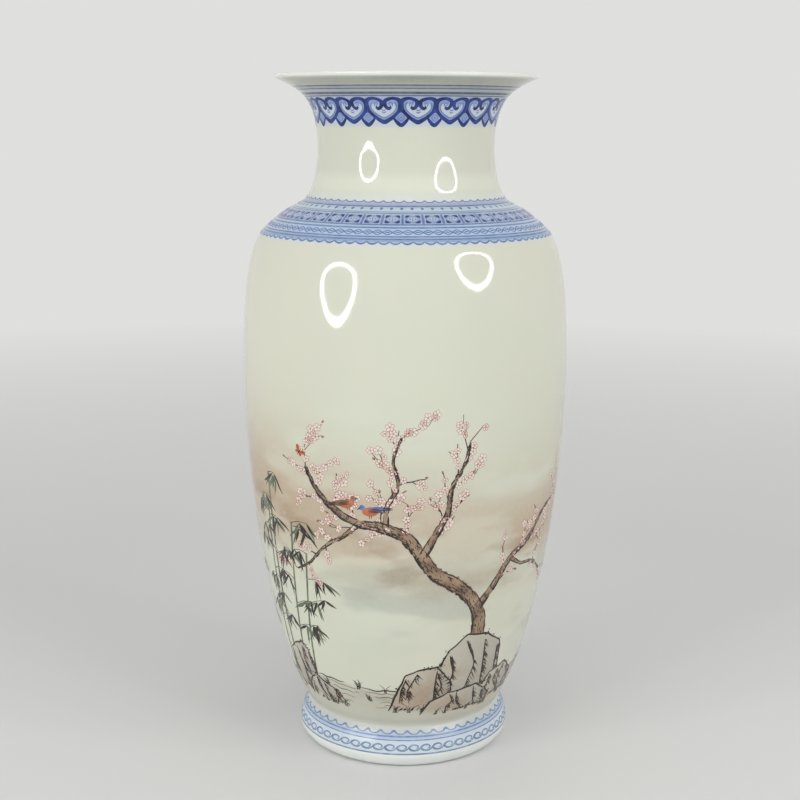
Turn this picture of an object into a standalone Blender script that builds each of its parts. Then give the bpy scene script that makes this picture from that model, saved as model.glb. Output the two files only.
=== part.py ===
"""A waisted porcelain display vase, as the potter's sections that are luted together before glazing.

Heights run up +Z from the table, in metres. The vase is turned about the Z axis.
"""

from math import cos, hypot, pi, sin

import bpy
import bmesh
from mathutils import Vector
from mathutils.geometry import interpolate_bezier

# Foot ring
FOOT_REST_RADIUS = 0.0606
FOOT_RADIUS = 0.0675
FOOT_WIDEST_HEIGHT = 0.0078
FOOT_HEIGHT = 0.0252
FOOT_RING_WALL = 0.0078
FOOT_RIM_WIDTH = 0.0052
RIM_CHAMFER = 0.0020
RECESS_DEPTH = 0.0120

# Outer line of the vase: the radius where each stretch ends, and how far that stretch rises
ANKLE_RADIUS = 0.0612
BELLY_RADIUS = 0.1014
BELLY_RISE = 0.2162
SHOULDER_RADIUS = 0.0874
SHOULDER_RISE = 0.0863
NECK_BASE_RADIUS = 0.0628
NECK_BASE_RISE = 0.0173
WAIST_RADIUS = 0.0541
WAIST_RISE = 0.0305
MOUTH_RADIUS = 0.0795
MOUTH_RISE = 0.0421

# Lean of the line at a station, as radius gained for each unit of height
FOOT_TOP_LEAN = -0.80
ANKLE_LEAN = 0.62
SHOULDER_LEAN = -1.02
NECK_BASE_LEAN = -1.29
MOUTH_LEAN = 2.43

# How far a station holds its lean below and above it, as a share of that stretch's rise
FOOT_EDGE_PULLS = (0.5, 0.3)
FOOT_SIDE_PULLS = (0.28, 0.31)
BELLY_PULLS = (0.23, 0.20)
SHOULDER_PULLS = (0.33, 0.14)
NECK_BASE_PULLS = (0.78, 0.20)
WAIST_PULLS = (0.16, 0.23)
MOUTH_PULLS = (0.67, 0.18)

# Walls
BODY_WALL = 0.0040
NECK_WALL = 0.0034
LIP_WALL = 0.0026
FLOOR_THICKNESS = 0.0075
FLOOR_CORNER = 0.0160
FLOOR_REACH = 0.0310
CORNER_PULLS = (0.3, 0.4)

# Luted joints: a ring of fired slip between two sections, squeezed out inside as a low bead
SLIP_THICKNESS = 0.0009
BEAD_HEIGHT = 0.0012
BEAD_WIDTH = 0.0052
TOUCH_GAP = 0.0003

# Fineness of the turned meshes
TURN_STEPS = 60
CURVE_STEPS = 6
LIP_STEPS = 4
LEAST_STEP = 0.0008
SHARP_ANGLE = 0.7

BELLY_HEIGHT = FOOT_HEIGHT + BELLY_RISE
SHOULDER_HEIGHT = BELLY_HEIGHT + SHOULDER_RISE
NECK_BASE_HEIGHT = SHOULDER_HEIGHT + NECK_BASE_RISE
WAIST_HEIGHT = NECK_BASE_HEIGHT + WAIST_RISE
MOUTH_HEIGHT = WAIST_HEIGHT + MOUTH_RISE
BELOW_ANKLE = FOOT_HEIGHT - SLIP_THICKNESS / 2 - TOUCH_GAP
ABOVE_ANKLE = FOOT_HEIGHT + SLIP_THICKNESS / 2 + TOUCH_GAP
RING_BORE = ANKLE_RADIUS - FOOT_RING_WALL


def clear_scene():
    for obj in list(bpy.data.objects):
        bpy.data.objects.remove(obj)


def material(name, colour, roughness):
    made = bpy.data.materials.new(name)
    made.use_nodes = True
    shader = made.node_tree.nodes["Principled BSDF"]
    shader.inputs["Base Color"].default_value = (*colour, 1.0)
    shader.inputs["Roughness"].default_value = roughness
    shader.inputs["Metallic"].default_value = 0.0
    return made


def bezier(points, steps):
    """Points along one Bezier stretch given by four (radius, height) places."""
    corners = [Vector((r, 0.0, z)) for r, z in points]
    return [(p.x, p.z) for p in interpolate_bezier(*corners, steps + 1)]


def stretch(start, start_lean, end, end_lean, pulls, steps):
    """Points of a stretch that leaves one station and reaches the next with the given leans."""
    rise = end[1] - start[1]
    up, down = pulls[0] * rise, pulls[1] * rise
    leaving = (start[0] + start_lean * up, start[1] + up)
    arriving = (end[0] - end_lean * down, end[1] - down)
    return bezier((start, leaving, arriving, end), steps)


def outer_line():
    """The outside of body, neck and mouth, from the ankle up."""
    ankle = (ANKLE_RADIUS, FOOT_HEIGHT)
    belly = (BELLY_RADIUS, BELLY_HEIGHT)
    shoulder = (SHOULDER_RADIUS, SHOULDER_HEIGHT)
    neck_base = (NECK_BASE_RADIUS, NECK_BASE_HEIGHT)
    waist = (WAIST_RADIUS, WAIST_HEIGHT)
    mouth = (MOUTH_RADIUS, MOUTH_HEIGHT)
    line = stretch(ankle, ANKLE_LEAN, belly, 0.0, BELLY_PULLS, CURVE_STEPS + 3)
    line += stretch(belly, 0.0, shoulder, SHOULDER_LEAN, SHOULDER_PULLS, CURVE_STEPS)[1:]
    line += stretch(shoulder, SHOULDER_LEAN, neck_base, NECK_BASE_LEAN, NECK_BASE_PULLS, CURVE_STEPS - 3)[1:]
    line += stretch(neck_base, NECK_BASE_LEAN, waist, 0.0, WAIST_PULLS, CURVE_STEPS)[1:]
    line += stretch(waist, 0.0, mouth, MOUTH_LEAN, MOUTH_PULLS, CURVE_STEPS + 2)[1:]
    return line


def lengths(line):
    """How far along the line each of its points lies."""
    along = [0.0]
    for (r0, z0), (r1, z1) in zip(line, line[1:]):
        along.append(along[-1] + hypot(r1 - r0, z1 - z0))
    return along


def place_at(line, distance):
    """The point at this distance along the line, which runs on straight past its ends."""
    along = lengths(line)
    last = len(line) - 2
    i = next((i for i in range(last) if distance <= along[i + 1]), last)
    share = (distance - along[i]) / (along[i + 1] - along[i])
    return tuple(a + (b - a) * share for a, b in zip(line[i], line[i + 1]))


def distance_at(line, height):
    """How far along the line it reaches this height."""
    along = lengths(line)
    last = len(line) - 2
    i = next((i for i in range(last) if height <= line[i + 1][1]), last)
    share = (height - line[i][1]) / (line[i + 1][1] - line[i][1])
    return along[i] + (along[i + 1] - along[i]) * share


def stops(line, start, end):
    """Distances of the two ends and of the line's own points between them, none crowded against an end."""
    inside = [at for at in lengths(line) if start + LEAST_STEP < at < end - LEAST_STEP]
    return [start] + inside + [end]


def cut(line, start, end):
    """The part of the line between two distances along it."""
    return [place_at(line, at) for at in stops(line, start, end)]


def behind(line, distance, depth):
    """The place this deep behind the surface, square to it."""
    r0, z0 = place_at(line, distance - LEAST_STEP)
    r1, z1 = place_at(line, distance + LEAST_STEP)
    size = hypot(r1 - r0, z1 - z0)
    r, z = place_at(line, distance)
    return (r - (z1 - z0) / size * depth, z + (r1 - r0) / size * depth)


def lining(line, start, end, wall_at):
    """The inside of the wall behind that part of the line, from its start upwards."""
    return [behind(line, at, wall_at(at)) for at in stops(line, start, end)]


def half_round(start, end, steps):
    """Points strictly between two places, on the half circle that runs anticlockwise from the first."""
    centre = ((start[0] + end[0]) / 2, (start[1] + end[1]) / 2)
    across = (start[0] - centre[0], start[1] - centre[1])
    points = []
    for step in range(1, steps):
        angle = pi * step / steps
        r = centre[0] + across[0] * cos(angle) - across[1] * sin(angle)
        z = centre[1] + across[1] * cos(angle) + across[0] * sin(angle)
        points.append((r, z))
    return points


def turn(name, profile, finish):
    """A closed body turned from a profile that runs up its outer side and back down its inner side."""
    shape = bmesh.new()
    rings = []
    for r, z in profile:
        count = TURN_STEPS if r > 0.0 else 1
        angles = [2 * pi * step / TURN_STEPS for step in range(count)]
        rings.append([shape.verts.new((r * cos(a), r * sin(a), z)) for a in angles])
    from_axis = len(rings[0]) == 1
    for low, high in zip(rings, rings[1:] if from_axis else rings[1:] + rings[:1]):
        for step in range(TURN_STEPS):
            after = (step + 1) % TURN_STEPS
            if len(low) == 1:
                shape.faces.new((low[0], high[after], high[step]))
            elif len(high) == 1:
                shape.faces.new((low[step], low[after], high[0]))
            else:
                shape.faces.new((low[step], low[after], high[after], high[step]))
    mesh = bpy.data.meshes.new(name)
    shape.to_mesh(mesh)
    shape.free()
    mesh.shade_smooth()
    mesh.set_sharp_from_angle(angle=SHARP_ANGLE)
    mesh.materials.append(finish)
    obj = bpy.data.objects.new(name, mesh)
    bpy.context.scene.collection.objects.link(obj)


def foot_profile():
    """The foot ring: a flat rim to rest on, a swelling outside and a plain wall round the base."""
    widest = (FOOT_RADIUS, FOOT_WIDEST_HEIGHT)
    under = FOOT_RADIUS - FOOT_REST_RADIUS
    edge = bezier(
        (
            (FOOT_REST_RADIUS, 0.0),
            (FOOT_REST_RADIUS + FOOT_EDGE_PULLS[0] * under, 0.0),
            (FOOT_RADIUS, FOOT_WIDEST_HEIGHT * (1.0 - FOOT_EDGE_PULLS[1])),
            widest,
        ),
        CURVE_STEPS - 1,
    )
    side = stretch(widest, 0.0, (ANKLE_RADIUS, FOOT_HEIGHT), FOOT_TOP_LEAN, FOOT_SIDE_PULLS, CURVE_STEPS)
    outside = edge + cut(side, 0.0, distance_at(side, BELOW_ANKLE))[1:]
    rim_inner = FOOT_REST_RADIUS - FOOT_RIM_WIDTH
    return outside + [(RING_BORE, BELOW_ANKLE), (RING_BORE, RIM_CHAMFER), (rim_inner, 0.0)]


def foot_slip_profile():
    """The flat ring of slip between foot ring and body."""
    low = FOOT_HEIGHT - SLIP_THICKNESS / 2
    high = FOOT_HEIGHT + SLIP_THICKNESS / 2
    inner = RING_BORE + TOUCH_GAP
    return [(ANKLE_RADIUS, low), (ANKLE_RADIUS, high), (inner, high), (inner, low)]


def seam(line, height):
    """Distances along the line of the slip's lower and upper faces, for a joint centred on this height."""
    middle = distance_at(line, height)
    return middle - SLIP_THICKNESS / 2, middle + SLIP_THICKNESS / 2


def lower_body_profile(line, belly_seam):
    """Floor and lower wall, with a turned base that drops into the foot ring."""
    start = distance_at(line, ABOVE_ANKLE)
    end = belly_seam[0] - TOUCH_GAP
    floor_top = RECESS_DEPTH + FLOOR_THICKNESS
    wall = lining(line, start, end, lambda at: BODY_WALL)
    low = distance_at(wall, ABOVE_ANKLE + FLOOR_CORNER)
    inside = cut(wall, low, lengths(wall)[-1])
    # A bowl-like curve leaves the flat floor inside the foot ring and runs up into the wall.
    base = RING_BORE - TOUCH_GAP
    r, z = inside[0]
    lean = (inside[1][0] - r) / (inside[1][1] - z)
    flat = base - FLOOR_REACH
    drop = CORNER_PULLS[1] * (z - floor_top)
    corner = bezier(
        (
            (flat, floor_top),
            (flat + CORNER_PULLS[0] * (r - flat), floor_top),
            (r - lean * drop, z - drop),
            (r, z),
        ),
        CURVE_STEPS,
    )
    underside = [(0.0, RECESS_DEPTH), (base, RECESS_DEPTH), (base, ABOVE_ANKLE)]
    return underside + cut(line, start, end) + inside[::-1] + corner[-2::-1] + [(0.0, floor_top)]


def upper_body_profile(line, belly_seam, neck_seam):
    """The upper half of the belly and the shoulder, open at both ends."""
    start = belly_seam[1] + TOUCH_GAP
    end = neck_seam[0] - TOUCH_GAP
    return cut(line, start, end) + lining(line, start, end, lambda at: BODY_WALL)[::-1]


def mouth_and_neck_profile(line, neck_seam):
    """The neck, the trumpet mouth and its rounded lip; the wall thins towards the lip."""
    start = neck_seam[1] + TOUCH_GAP
    waist = distance_at(line, WAIST_HEIGHT)
    end = lengths(line)[-1]

    def wall_at(at):
        if at <= waist:
            return BODY_WALL + (NECK_WALL - BODY_WALL) * (at - start) / (waist - start)
        return NECK_WALL + (LIP_WALL - NECK_WALL) * (at - waist) / (end - waist)

    outside = cut(line, start, end)
    inside = lining(line, start, end, wall_at)
    return outside + half_round(outside[-1], inside[-1], LIP_STEPS) + inside[::-1]


def slip_profile(line, slip_seam):
    """A slip ring: flush outside, as wide as the wall, with a low bead along the inside of the joint."""
    low, high = slip_seam
    middle = (low + high) / 2
    back = BODY_WALL + TOUCH_GAP
    bead = []
    for step in range(LIP_STEPS + 1):
        share = 1.0 - 2.0 * step / LIP_STEPS
        depth = back + SLIP_THICKNESS / 2 + BEAD_HEIGHT * (1.0 - share * share)
        bead.append(behind(line, middle + share * BEAD_WIDTH / 2, depth))
    top = [behind(line, high, back), behind(line, middle + BEAD_WIDTH / 2, back)]
    bottom = [behind(line, middle - BEAD_WIDTH / 2, back), behind(line, low, back)]
    return [place_at(line, low), place_at(line, high)] + top + bead + bottom


def build():
    clear_scene()
    glazed = material("white_glazed_porcelain", (0.72, 0.72, 0.66), 0.08)
    slip = material("bare_porcelain_slip", (0.70, 0.68, 0.61), 0.55)

    line = outer_line()
    belly_seam = seam(line, BELLY_HEIGHT)
    neck_seam = seam(line, NECK_BASE_HEIGHT)

    turn("foot_ring", foot_profile(), glazed)
    turn("foot_luting_slip", foot_slip_profile(), slip)
    turn("lower_body", lower_body_profile(line, belly_seam), glazed)
    turn("belly_luting_slip", slip_profile(line, belly_seam), slip)
    turn("upper_body", upper_body_profile(line, belly_seam, neck_seam), glazed)
    turn("neck_luting_slip", slip_profile(line, neck_seam), slip)
    turn("mouth_and_neck", mouth_and_neck_profile(line, neck_seam), glazed)


build()
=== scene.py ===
"""A waisted porcelain display vase under a clear glaze, with cobalt borders and a painted garden scene.

Metres, +Z up from the table. The vase is turned about the Z axis and its front looks towards -Y.
"""

from math import cos, pi, radians, sin

import bpy
import numpy as np
from mathutils import Euler, Matrix, Vector


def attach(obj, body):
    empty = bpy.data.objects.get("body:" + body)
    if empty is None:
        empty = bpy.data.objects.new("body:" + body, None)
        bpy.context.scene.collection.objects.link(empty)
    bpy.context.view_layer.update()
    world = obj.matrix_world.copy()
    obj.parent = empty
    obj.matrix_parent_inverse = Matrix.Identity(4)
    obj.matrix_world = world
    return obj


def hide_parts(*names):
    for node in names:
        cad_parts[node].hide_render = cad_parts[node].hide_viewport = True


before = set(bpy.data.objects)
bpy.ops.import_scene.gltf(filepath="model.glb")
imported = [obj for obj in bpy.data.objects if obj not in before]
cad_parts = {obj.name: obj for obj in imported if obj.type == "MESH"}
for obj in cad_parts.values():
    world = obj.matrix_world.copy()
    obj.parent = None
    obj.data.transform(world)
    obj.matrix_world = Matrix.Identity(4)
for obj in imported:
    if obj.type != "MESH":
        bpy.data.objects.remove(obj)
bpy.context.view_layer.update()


# Foot ring. Porcelain thrown as a thick ring, luted under the body with slip and turned to a
# spreading foot. The clear glaze stops just above the flat rim, which is wiped clean before firing.

FOOT_REST_RADIUS = 0.0606
FOOT_RADIUS = 0.0675
FOOT_WIDEST_HEIGHT = 0.0078
ANKLE_RADIUS = 0.0612
ANKLE_HEIGHT = 0.0252
RING_BORE = 0.0534
RIM_INNER_RADIUS = 0.0554
RIM_CHAMFER = 0.0020
GLAZE_EDGE = 0.0013
TOAST_START = 0.0004
TOAST_FULL = 0.0012
RIM_STEP = 0.00015

# How many steps a piece is turned in, and how far apart the foot's rows lie
TURN_STEPS = 320
FOOT_ROW_STEP = 0.0009
RIM_ROW_STEP = 0.0003
BORE_ROWS = 8

# The bake map's gap between its strips, what counts as on the axis, and how close points merge
STRIP_MARGIN = 0.006
ON_AXIS = 1e-6
MERGE_GAP = 2e-6

SHARP_EDGE = radians(45)


def bezier(corners, steps=60):
    """Points along a Bezier stretch with four (radius, height) corners."""
    share = np.linspace(0.0, 1.0, steps + 1)[:, None]
    a, b, c, d = np.array(corners, float)
    left = 1.0 - share
    return left**3 * a + 3 * left**2 * share * b + 3 * left * share**2 * c + share**3 * d


def stretch(start, start_lean, end, end_lean, pulls):
    """A stretch of outline between two stations. It leaves and arrives with the given leans, and the
    pulls say over what shares of the rise it keeps to them."""
    rise = end[1] - start[1]
    up, down = pulls[0] * rise, pulls[1] * rise
    leaving = (start[0] + start_lean * up, start[1] + up)
    arriving = (end[0] - end_lean * down, end[1] - down)
    return bezier((start, leaving, arriving, end))


class Side:
    """A line up the vase's side, read by the distance along it."""

    def __init__(self, *stretches):
        self.points = np.concatenate([stretches[0]] + [more[1:] for more in stretches[1:]])
        steps = np.hypot(*np.diff(self.points, axis=0).T)
        self.along = np.append(0.0, np.cumsum(steps))

    def reach(self, height):
        """The distance at which the line comes to this height."""
        return float(np.interp(height, self.points[:, 1], self.along))

    def at(self, distances):
        return np.stack([np.interp(distances, self.along, part) for part in self.points.T], axis=-1)

    def out(self, distances):
        """Unit directions square to the line, outwards."""
        probe = 0.0003
        step = self.at(distances + probe) - self.at(distances - probe)
        step /= np.hypot(step[..., 0], step[..., 1])[..., None]
        return np.stack([step[..., 1], -step[..., 0]], axis=-1)

    def rows(self, start, end, gap):
        """Distances from start to end, about this far apart."""
        return np.linspace(start, end, max(2, round(abs(end - start) / gap) + 1))


class Wire:
    """An output socket. Arithmetic and comparisons on it add the Math nodes that do them."""

    def __init__(self, socket):
        self.socket = socket

    def maths(self, operation, *others, reflected=False):
        """A Math node on this value and the others, or on the others and then this value."""
        values = (*others, self) if reflected else (self, *others)
        return add(self.socket.id_data, "ShaderNodeMath", {"operation": operation}, dict(enumerate(values)))

    def sign(operation, reflected=False):
        """The method behind one arithmetic sign."""
        return lambda self, other: self.maths(operation, other, reflected=reflected)

    __add__, __radd__ = sign("ADD"), sign("ADD", reflected=True)
    __sub__, __rsub__ = sign("SUBTRACT"), sign("SUBTRACT", reflected=True)
    __mul__, __rmul__ = sign("MULTIPLY"), sign("MULTIPLY", reflected=True)
    __truediv__, __rtruediv__ = sign("DIVIDE"), sign("DIVIDE", reflected=True)
    __mod__, __rmod__ = sign("MODULO"), sign("MODULO", reflected=True)
    __lt__, __gt__ = sign("LESS_THAN"), sign("GREATER_THAN")
    del sign


def join(slot, value):
    """Links a wire to an input socket, or sets the socket's own value."""
    if isinstance(value, Wire):
        slot.id_data.links.new(value.socket, slot)
    else:
        slot.default_value = value


def add(tree, kind, settings=None, values=None, out=0):
    """Adds a node with its settings and the values or links of its sockets. Returns one output, or
    several where their names are given as a tuple."""
    node = tree.nodes.new(kind)
    for name, setting in (settings or {}).items():
        setattr(node, name, setting)
    for place, value in (values or {}).items():
        join(node.inputs[place], value)
    if isinstance(out, tuple):
        return tuple(Wire(node.outputs[label]) for label in out)
    return Wire(node.outputs[out]) if len(node.outputs) else node


def parts_of(tree, vector, *letters):
    """The named components of a vector."""
    return add(tree, "ShaderNodeSeparateXYZ", values={0: vector}, out=letters)


def turned_spot(tree, radius, angle, height):
    """The place at this radius, angle and height about the vase's axis."""
    values = {"X": radius * angle.maths("COSINE"), "Y": radius * angle.maths("SINE"), "Z": height}
    return add(tree, "ShaderNodeCombineXYZ", values=values)


def group_tree(name, inputs):
    """A Geometry Nodes tree with named inputs. Returns the tree and its inputs as wires."""
    tree = bpy.data.node_groups.new(name, "GeometryNodeTree")
    tree.interface.new_socket("Geometry", in_out="INPUT", socket_type="NodeSocketGeometry")
    for label, kind in inputs.items():
        tree.interface.new_socket(label, in_out="INPUT", socket_type="NodeSocket" + kind)
    tree.interface.new_socket("Geometry", in_out="OUTPUT", socket_type="NodeSocketGeometry")
    labels = ("Geometry", *inputs)
    return tree, dict(zip(labels, add(tree, "NodeGroupInput", out=labels)))


def end_tree(tree, geometry, paint):
    """Closes a tree with Realize Instances and Set Material."""
    real = add(tree, "GeometryNodeRealizeInstances", values={"Geometry": geometry})
    smooth = add(tree, "GeometryNodeSetShadeSmooth", values={"Geometry": real})
    finished = add(tree, "GeometryNodeSetMaterial", values={"Geometry": smooth, "Material": paint})
    add(tree, "NodeGroupOutput", values={0: finished})


def apply_tree(obj, tree, values):
    """Runs a tree on an object and keeps the result as its plain mesh."""
    grown = obj.modifiers.new(tree.name, "NODES")
    grown.node_group = tree
    for item in tree.interface.items_tree:
        if item.in_out == "INPUT" and item.name in values:
            grown[item.identifier] = values[item.name]
    graph = bpy.context.evaluated_depsgraph_get()
    mesh = bpy.data.meshes.new_from_object(obj.evaluated_get(graph))
    obj.modifiers.clear()
    obj.data = mesh
    mesh.name = obj.name
    while mesh.materials[0] is None:
        mesh.materials.pop(index=0)
    return mesh


def srgb(*values):
    """A colour given in 0 to 255 screen values, as the shader's linear values."""
    shares = np.array(values) / 255.0
    return tuple(np.where(shares <= 0.04045, shares / 12.92, ((shares + 0.055) / 1.055) ** 2.4)) + (1.0,)


# The glaze's own colour and no cover, so that the edge of a wash fades into the glaze
NO_WASH = (*srgb(225, 227, 210)[:3], 0.0)


def turning_tree():
    """Turns a section's row of points about the Z axis. The outer wall gets two wide strips of the
    bake map, for the front and back halves, and the rest of the section one narrow strip."""
    tree, given = group_tree(
        "turned_section",
        {
            "Section": "Object", "Turn Steps": "Int", "Rows": "Int", "Outer Rows": "Int",
            "Outer Share": "Float", "Finish": "Material",
        },
    )
    section = add(tree, "GeometryNodeObjectInfo", values={"Object": given["Section"]}, out="Geometry")
    counts = {"Vertices X": given["Turn Steps"] + 1, "Vertices Y": given["Rows"]}
    grid = add(tree, "GeometryNodeMeshGrid", values=counts, out="Mesh")
    index = add(tree, "GeometryNodeInputIndex")
    row = index % given["Rows"]
    rounding = 1e-4
    column = (index / given["Rows"] + rounding).maths("FLOOR")
    spot = add(
        tree, "GeometryNodeSampleIndex", {"data_type": "FLOAT_VECTOR"},
        {"Geometry": section, "Value": add(tree, "GeometryNodeInputPosition"), "Index": row},
    )
    radius, height = parts_of(tree, spot, "X", "Z")
    angle = column * (2 * pi) / given["Turn Steps"] - pi
    place = turned_spot(tree, radius, angle, height)
    shaped = add(tree, "GeometryNodeSetPosition", values={"Geometry": grid, "Position": place})

    def held(value, domain):
        settings = {"data_type": "FLOAT", "domain": domain}
        return add(tree, "GeometryNodeFieldOnDomain", settings, {"Value": value})

    row, column = held(row, "POINT"), held(column, "POINT")
    outside = held(row, "FACE") < given["Outer Rows"] - 1
    back = held(column, "FACE") > given["Turn Steps"] / 2
    half = given["Turn Steps"] / 2
    strip = given["Outer Share"] / 2 - STRIP_MARGIN
    u_outer = (column - back * half) / half
    v_outer = (row / (given["Outer Rows"] - 1)) * strip + back * given["Outer Share"] / 2
    u_rest = column / given["Turn Steps"]
    share_rest = (row - given["Outer Rows"] + 1) / (given["Rows"] - given["Outer Rows"])
    v_rest = given["Outer Share"] + share_rest * (1 - given["Outer Share"])
    u = u_rest + (u_outer - u_rest) * outside
    v = v_rest + (v_outer - v_rest) * outside
    flat = add(tree, "ShaderNodeCombineXYZ", values={"X": u, "Y": v})
    mapped = add(
        tree, "GeometryNodeStoreNamedAttribute", {"data_type": "FLOAT2", "domain": "CORNER"},
        {"Geometry": shaped, "Name": "OFBake", "Value": flat},
    )
    on_axis = held(radius, "POINT") < ON_AXIS
    trimmed = add(
        tree, "GeometryNodeDeleteGeometry", {"domain": "FACE"}, {"Geometry": mapped, "Selection": on_axis},
    )
    merged = add(tree, "GeometryNodeMergeByDistance", values={"Geometry": trimmed, "Distance": MERGE_GAP})
    end_tree(tree, merged, given["Finish"])
    return tree


turned_section = turning_tree()


def new_object(name, data):
    """An object with this mesh, curve, lamp or camera, placed in the scene."""
    made = bpy.data.objects.new(name, data)
    bpy.context.scene.collection.objects.link(made)
    return made


def turn(name, rows, outer_rows, outer_share, finish):
    """A closed piece turned from rows of (radius, height), the outer wall's rows first. The outer
    share is that wall's part of the bake map."""
    rows = np.concatenate([rows, rows[:1]])
    guide = bpy.data.meshes.new("section")
    guide.from_pydata([(r, 0.0, z) for r, z in rows], [(i, i + 1) for i in range(len(rows) - 1)], [])
    section = new_object("section", guide)
    piece = new_object(name, bpy.data.meshes.new(name))
    mesh = apply_tree(piece, turned_section, {
        "Section": section, "Turn Steps": TURN_STEPS, "Rows": len(rows), "Outer Rows": outer_rows,
        "Outer Share": outer_share, "Finish": finish,
    })
    bpy.data.objects.remove(section)
    mesh.set_sharp_from_angle(angle=SHARP_EDGE)
    wash = mesh.attributes.new("wash", "FLOAT_COLOR", "POINT")
    wash.data.foreach_set("color", np.tile(NO_WASH, len(mesh.vertices)).astype(np.float32))
    return piece


def blend(tree, factor, first, second):
    """A colour that goes from the first to the second."""
    return add(tree, "ShaderNodeMix", {"data_type": "RGBA"}, {0: factor, 6: first, 7: second}, out=2)


class Finish:
    """A material under construction: its tree, its Principled shader and its Object coordinates."""

    def __init__(self, name, **uniform):
        self.made = bpy.data.materials.new(name)
        self.made.use_nodes = True
        self.tree = self.made.node_tree
        self.shader = self.tree.nodes["Principled BSDF"]
        self.place = add(self.tree, "ShaderNodeTexCoord", out="Object")
        for label, value in uniform.items():
            self.shader.inputs[label.replace("_", " ")].default_value = value

    def noise(self, scale, detail=2.0):
        values = {"Vector": self.place, "Scale": scale, "Detail": detail}
        return add(self.tree, "ShaderNodeTexNoise", values=values)

    def between(self, low, high, value):
        """How far the value lies from low to high, from 0 to 1."""
        values = {"Value": value, "From Min": low, "From Max": high}
        return add(self.tree, "ShaderNodeMapRange", values=values)

    def height(self):
        return parts_of(self.tree, self.place, "Z")[0]

    def mix(self, factor, first, second):
        return blend(self.tree, factor, first, second)

    def bump(self, height, strength, distance):
        values = {"Height": height, "Strength": strength, "Distance": distance}
        join(self.shader.inputs["Normal"], add(self.tree, "ShaderNodeBump", values=values))

    def set(self, label, value):
        join(self.shader.inputs[label], value)


GLAZE_IOR = 1.5


def gloss(finish):
    """Glassy glaze, a little duller on the foot where it lies thin and is handled and wiped."""
    polish, unevenness, foot_dulling = 0.045, 0.04, 0.17
    dull_below, clear_above = 0.024, 0.036
    dull = 1 - finish.between(dull_below, clear_above, finish.height())
    finish.set("Roughness", finish.noise(60.0) * unevenness + polish + dull * foot_dulling)


def clear_glaze():
    """White porcelain under clear glaze: a faint green cast where it lies thick, warmer where it
    runs thin, a very slight ripple, and the washes from the mesh that show through: painted colour,
    with painted shade at the ankle and under the mouth's flare and a painted highlight on the lip."""
    cool, warm, thick = srgb(222, 227, 209), srgb(229, 228, 211), srgb(225, 226, 206)
    finish = Finish("clear_glaze", IOR=GLAZE_IOR)
    cloud = finish.noise(7.0, 3.0)
    drift = finish.noise(26.0, 2.0)
    body = finish.mix(finish.between(0.35, 0.65, cloud), cool, warm)
    body = finish.mix(finish.between(0.3, 0.7, drift) * 0.35, body, thick)
    wash = {"attribute_name": "wash"}
    tone, strength = add(finish.tree, "ShaderNodeAttribute", wash, out=("Color", "Alpha"))
    grain = finish.noise(420.0, 2.0) * 0.35 + 0.825
    cover = (strength * grain).maths("MINIMUM", 1.0)
    finish.set("Base Color", finish.mix(cover, body, tone))
    gloss(finish)
    ripple = finish.noise(34.0, 1.0) + finish.noise(170.0, 1.0) * 0.12
    finish.bump(ripple, strength=0.35, distance=0.0002)
    return finish.made


def bare_porcelain():
    """Unglazed fired porcelain: matt, creamy, a little grey from handling, orange-brown where the
    glaze ends."""
    cream, speck = srgb(216, 206, 184), srgb(190, 176, 150)
    grey, toast = srgb(168, 156, 136), srgb(186, 138, 92)
    finish = Finish("wiped_porcelain", IOR=1.45)
    speckle = finish.between(0.45, 0.75, finish.noise(900.0, 3.0))
    soil = finish.between(0.4, 0.7, finish.noise(70.0, 4.0))
    toasted = finish.between(TOAST_START, TOAST_FULL, finish.height())
    colour = finish.mix(speckle * 0.5, cream, speck)
    colour = finish.mix(soil * 0.45, colour, grey)
    colour = finish.mix(toasted * 0.6, colour, toast)
    finish.set("Base Color", colour)
    finish.set("Roughness", finish.noise(300.0) * 0.2 + 0.6)
    finish.bump(finish.noise(1400.0, 3.0), strength=0.5, distance=0.0002)
    return finish.made


glaze = clear_glaze()
bare = bare_porcelain()

widest = (FOOT_RADIUS, FOOT_WIDEST_HEIGHT)
ankle = (ANKLE_RADIUS, ANKLE_HEIGHT)
tuck = FOOT_RADIUS - FOOT_REST_RADIUS
foot_edge = bezier((
    (FOOT_REST_RADIUS, 0.0),
    (FOOT_REST_RADIUS + 0.5 * tuck, 0.0),
    (FOOT_RADIUS, 0.7 * FOOT_WIDEST_HEIGHT),
    widest,
))
foot_side = stretch(widest, 0.0, ankle, -0.80, (0.28, 0.31))
outline = Side(foot_edge, foot_side)

outer = outline.at(outline.rows(GLAZE_EDGE, outline.reach(ANKLE_HEIGHT), FOOT_ROW_STEP))
bore = [(RING_BORE, z) for z in np.linspace(ANKLE_HEIGHT, RIM_CHAMFER, BORE_ROWS)]
rows = np.concatenate([outer, bore])
foot_ring = turn("foot_ring_glazed", rows, len(outer), outer_share=0.8, finish=glaze)
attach(foot_ring, "root")
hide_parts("foot_ring")

wiped = outline.at(outline.rows(0.0, GLAZE_EDGE, RIM_ROW_STEP))
wiped[1:, 0] -= RIM_STEP
rows = np.concatenate([wiped, [(RING_BORE + RIM_STEP, RIM_CHAMFER), (RIM_INNER_RADIUS, 0.0)]])
foot_rim = turn("foot_rim", rows, len(wiped), outer_share=0.4, finish=bare)
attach(foot_rim, "root")
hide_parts("foot_ring")


# Lower body. The lower half of the thrown wall, swelling from the ankle to the widest girth, with
# the floor and the glazed underside that fills the foot ring. Shallow throwing rings show inside.

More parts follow.
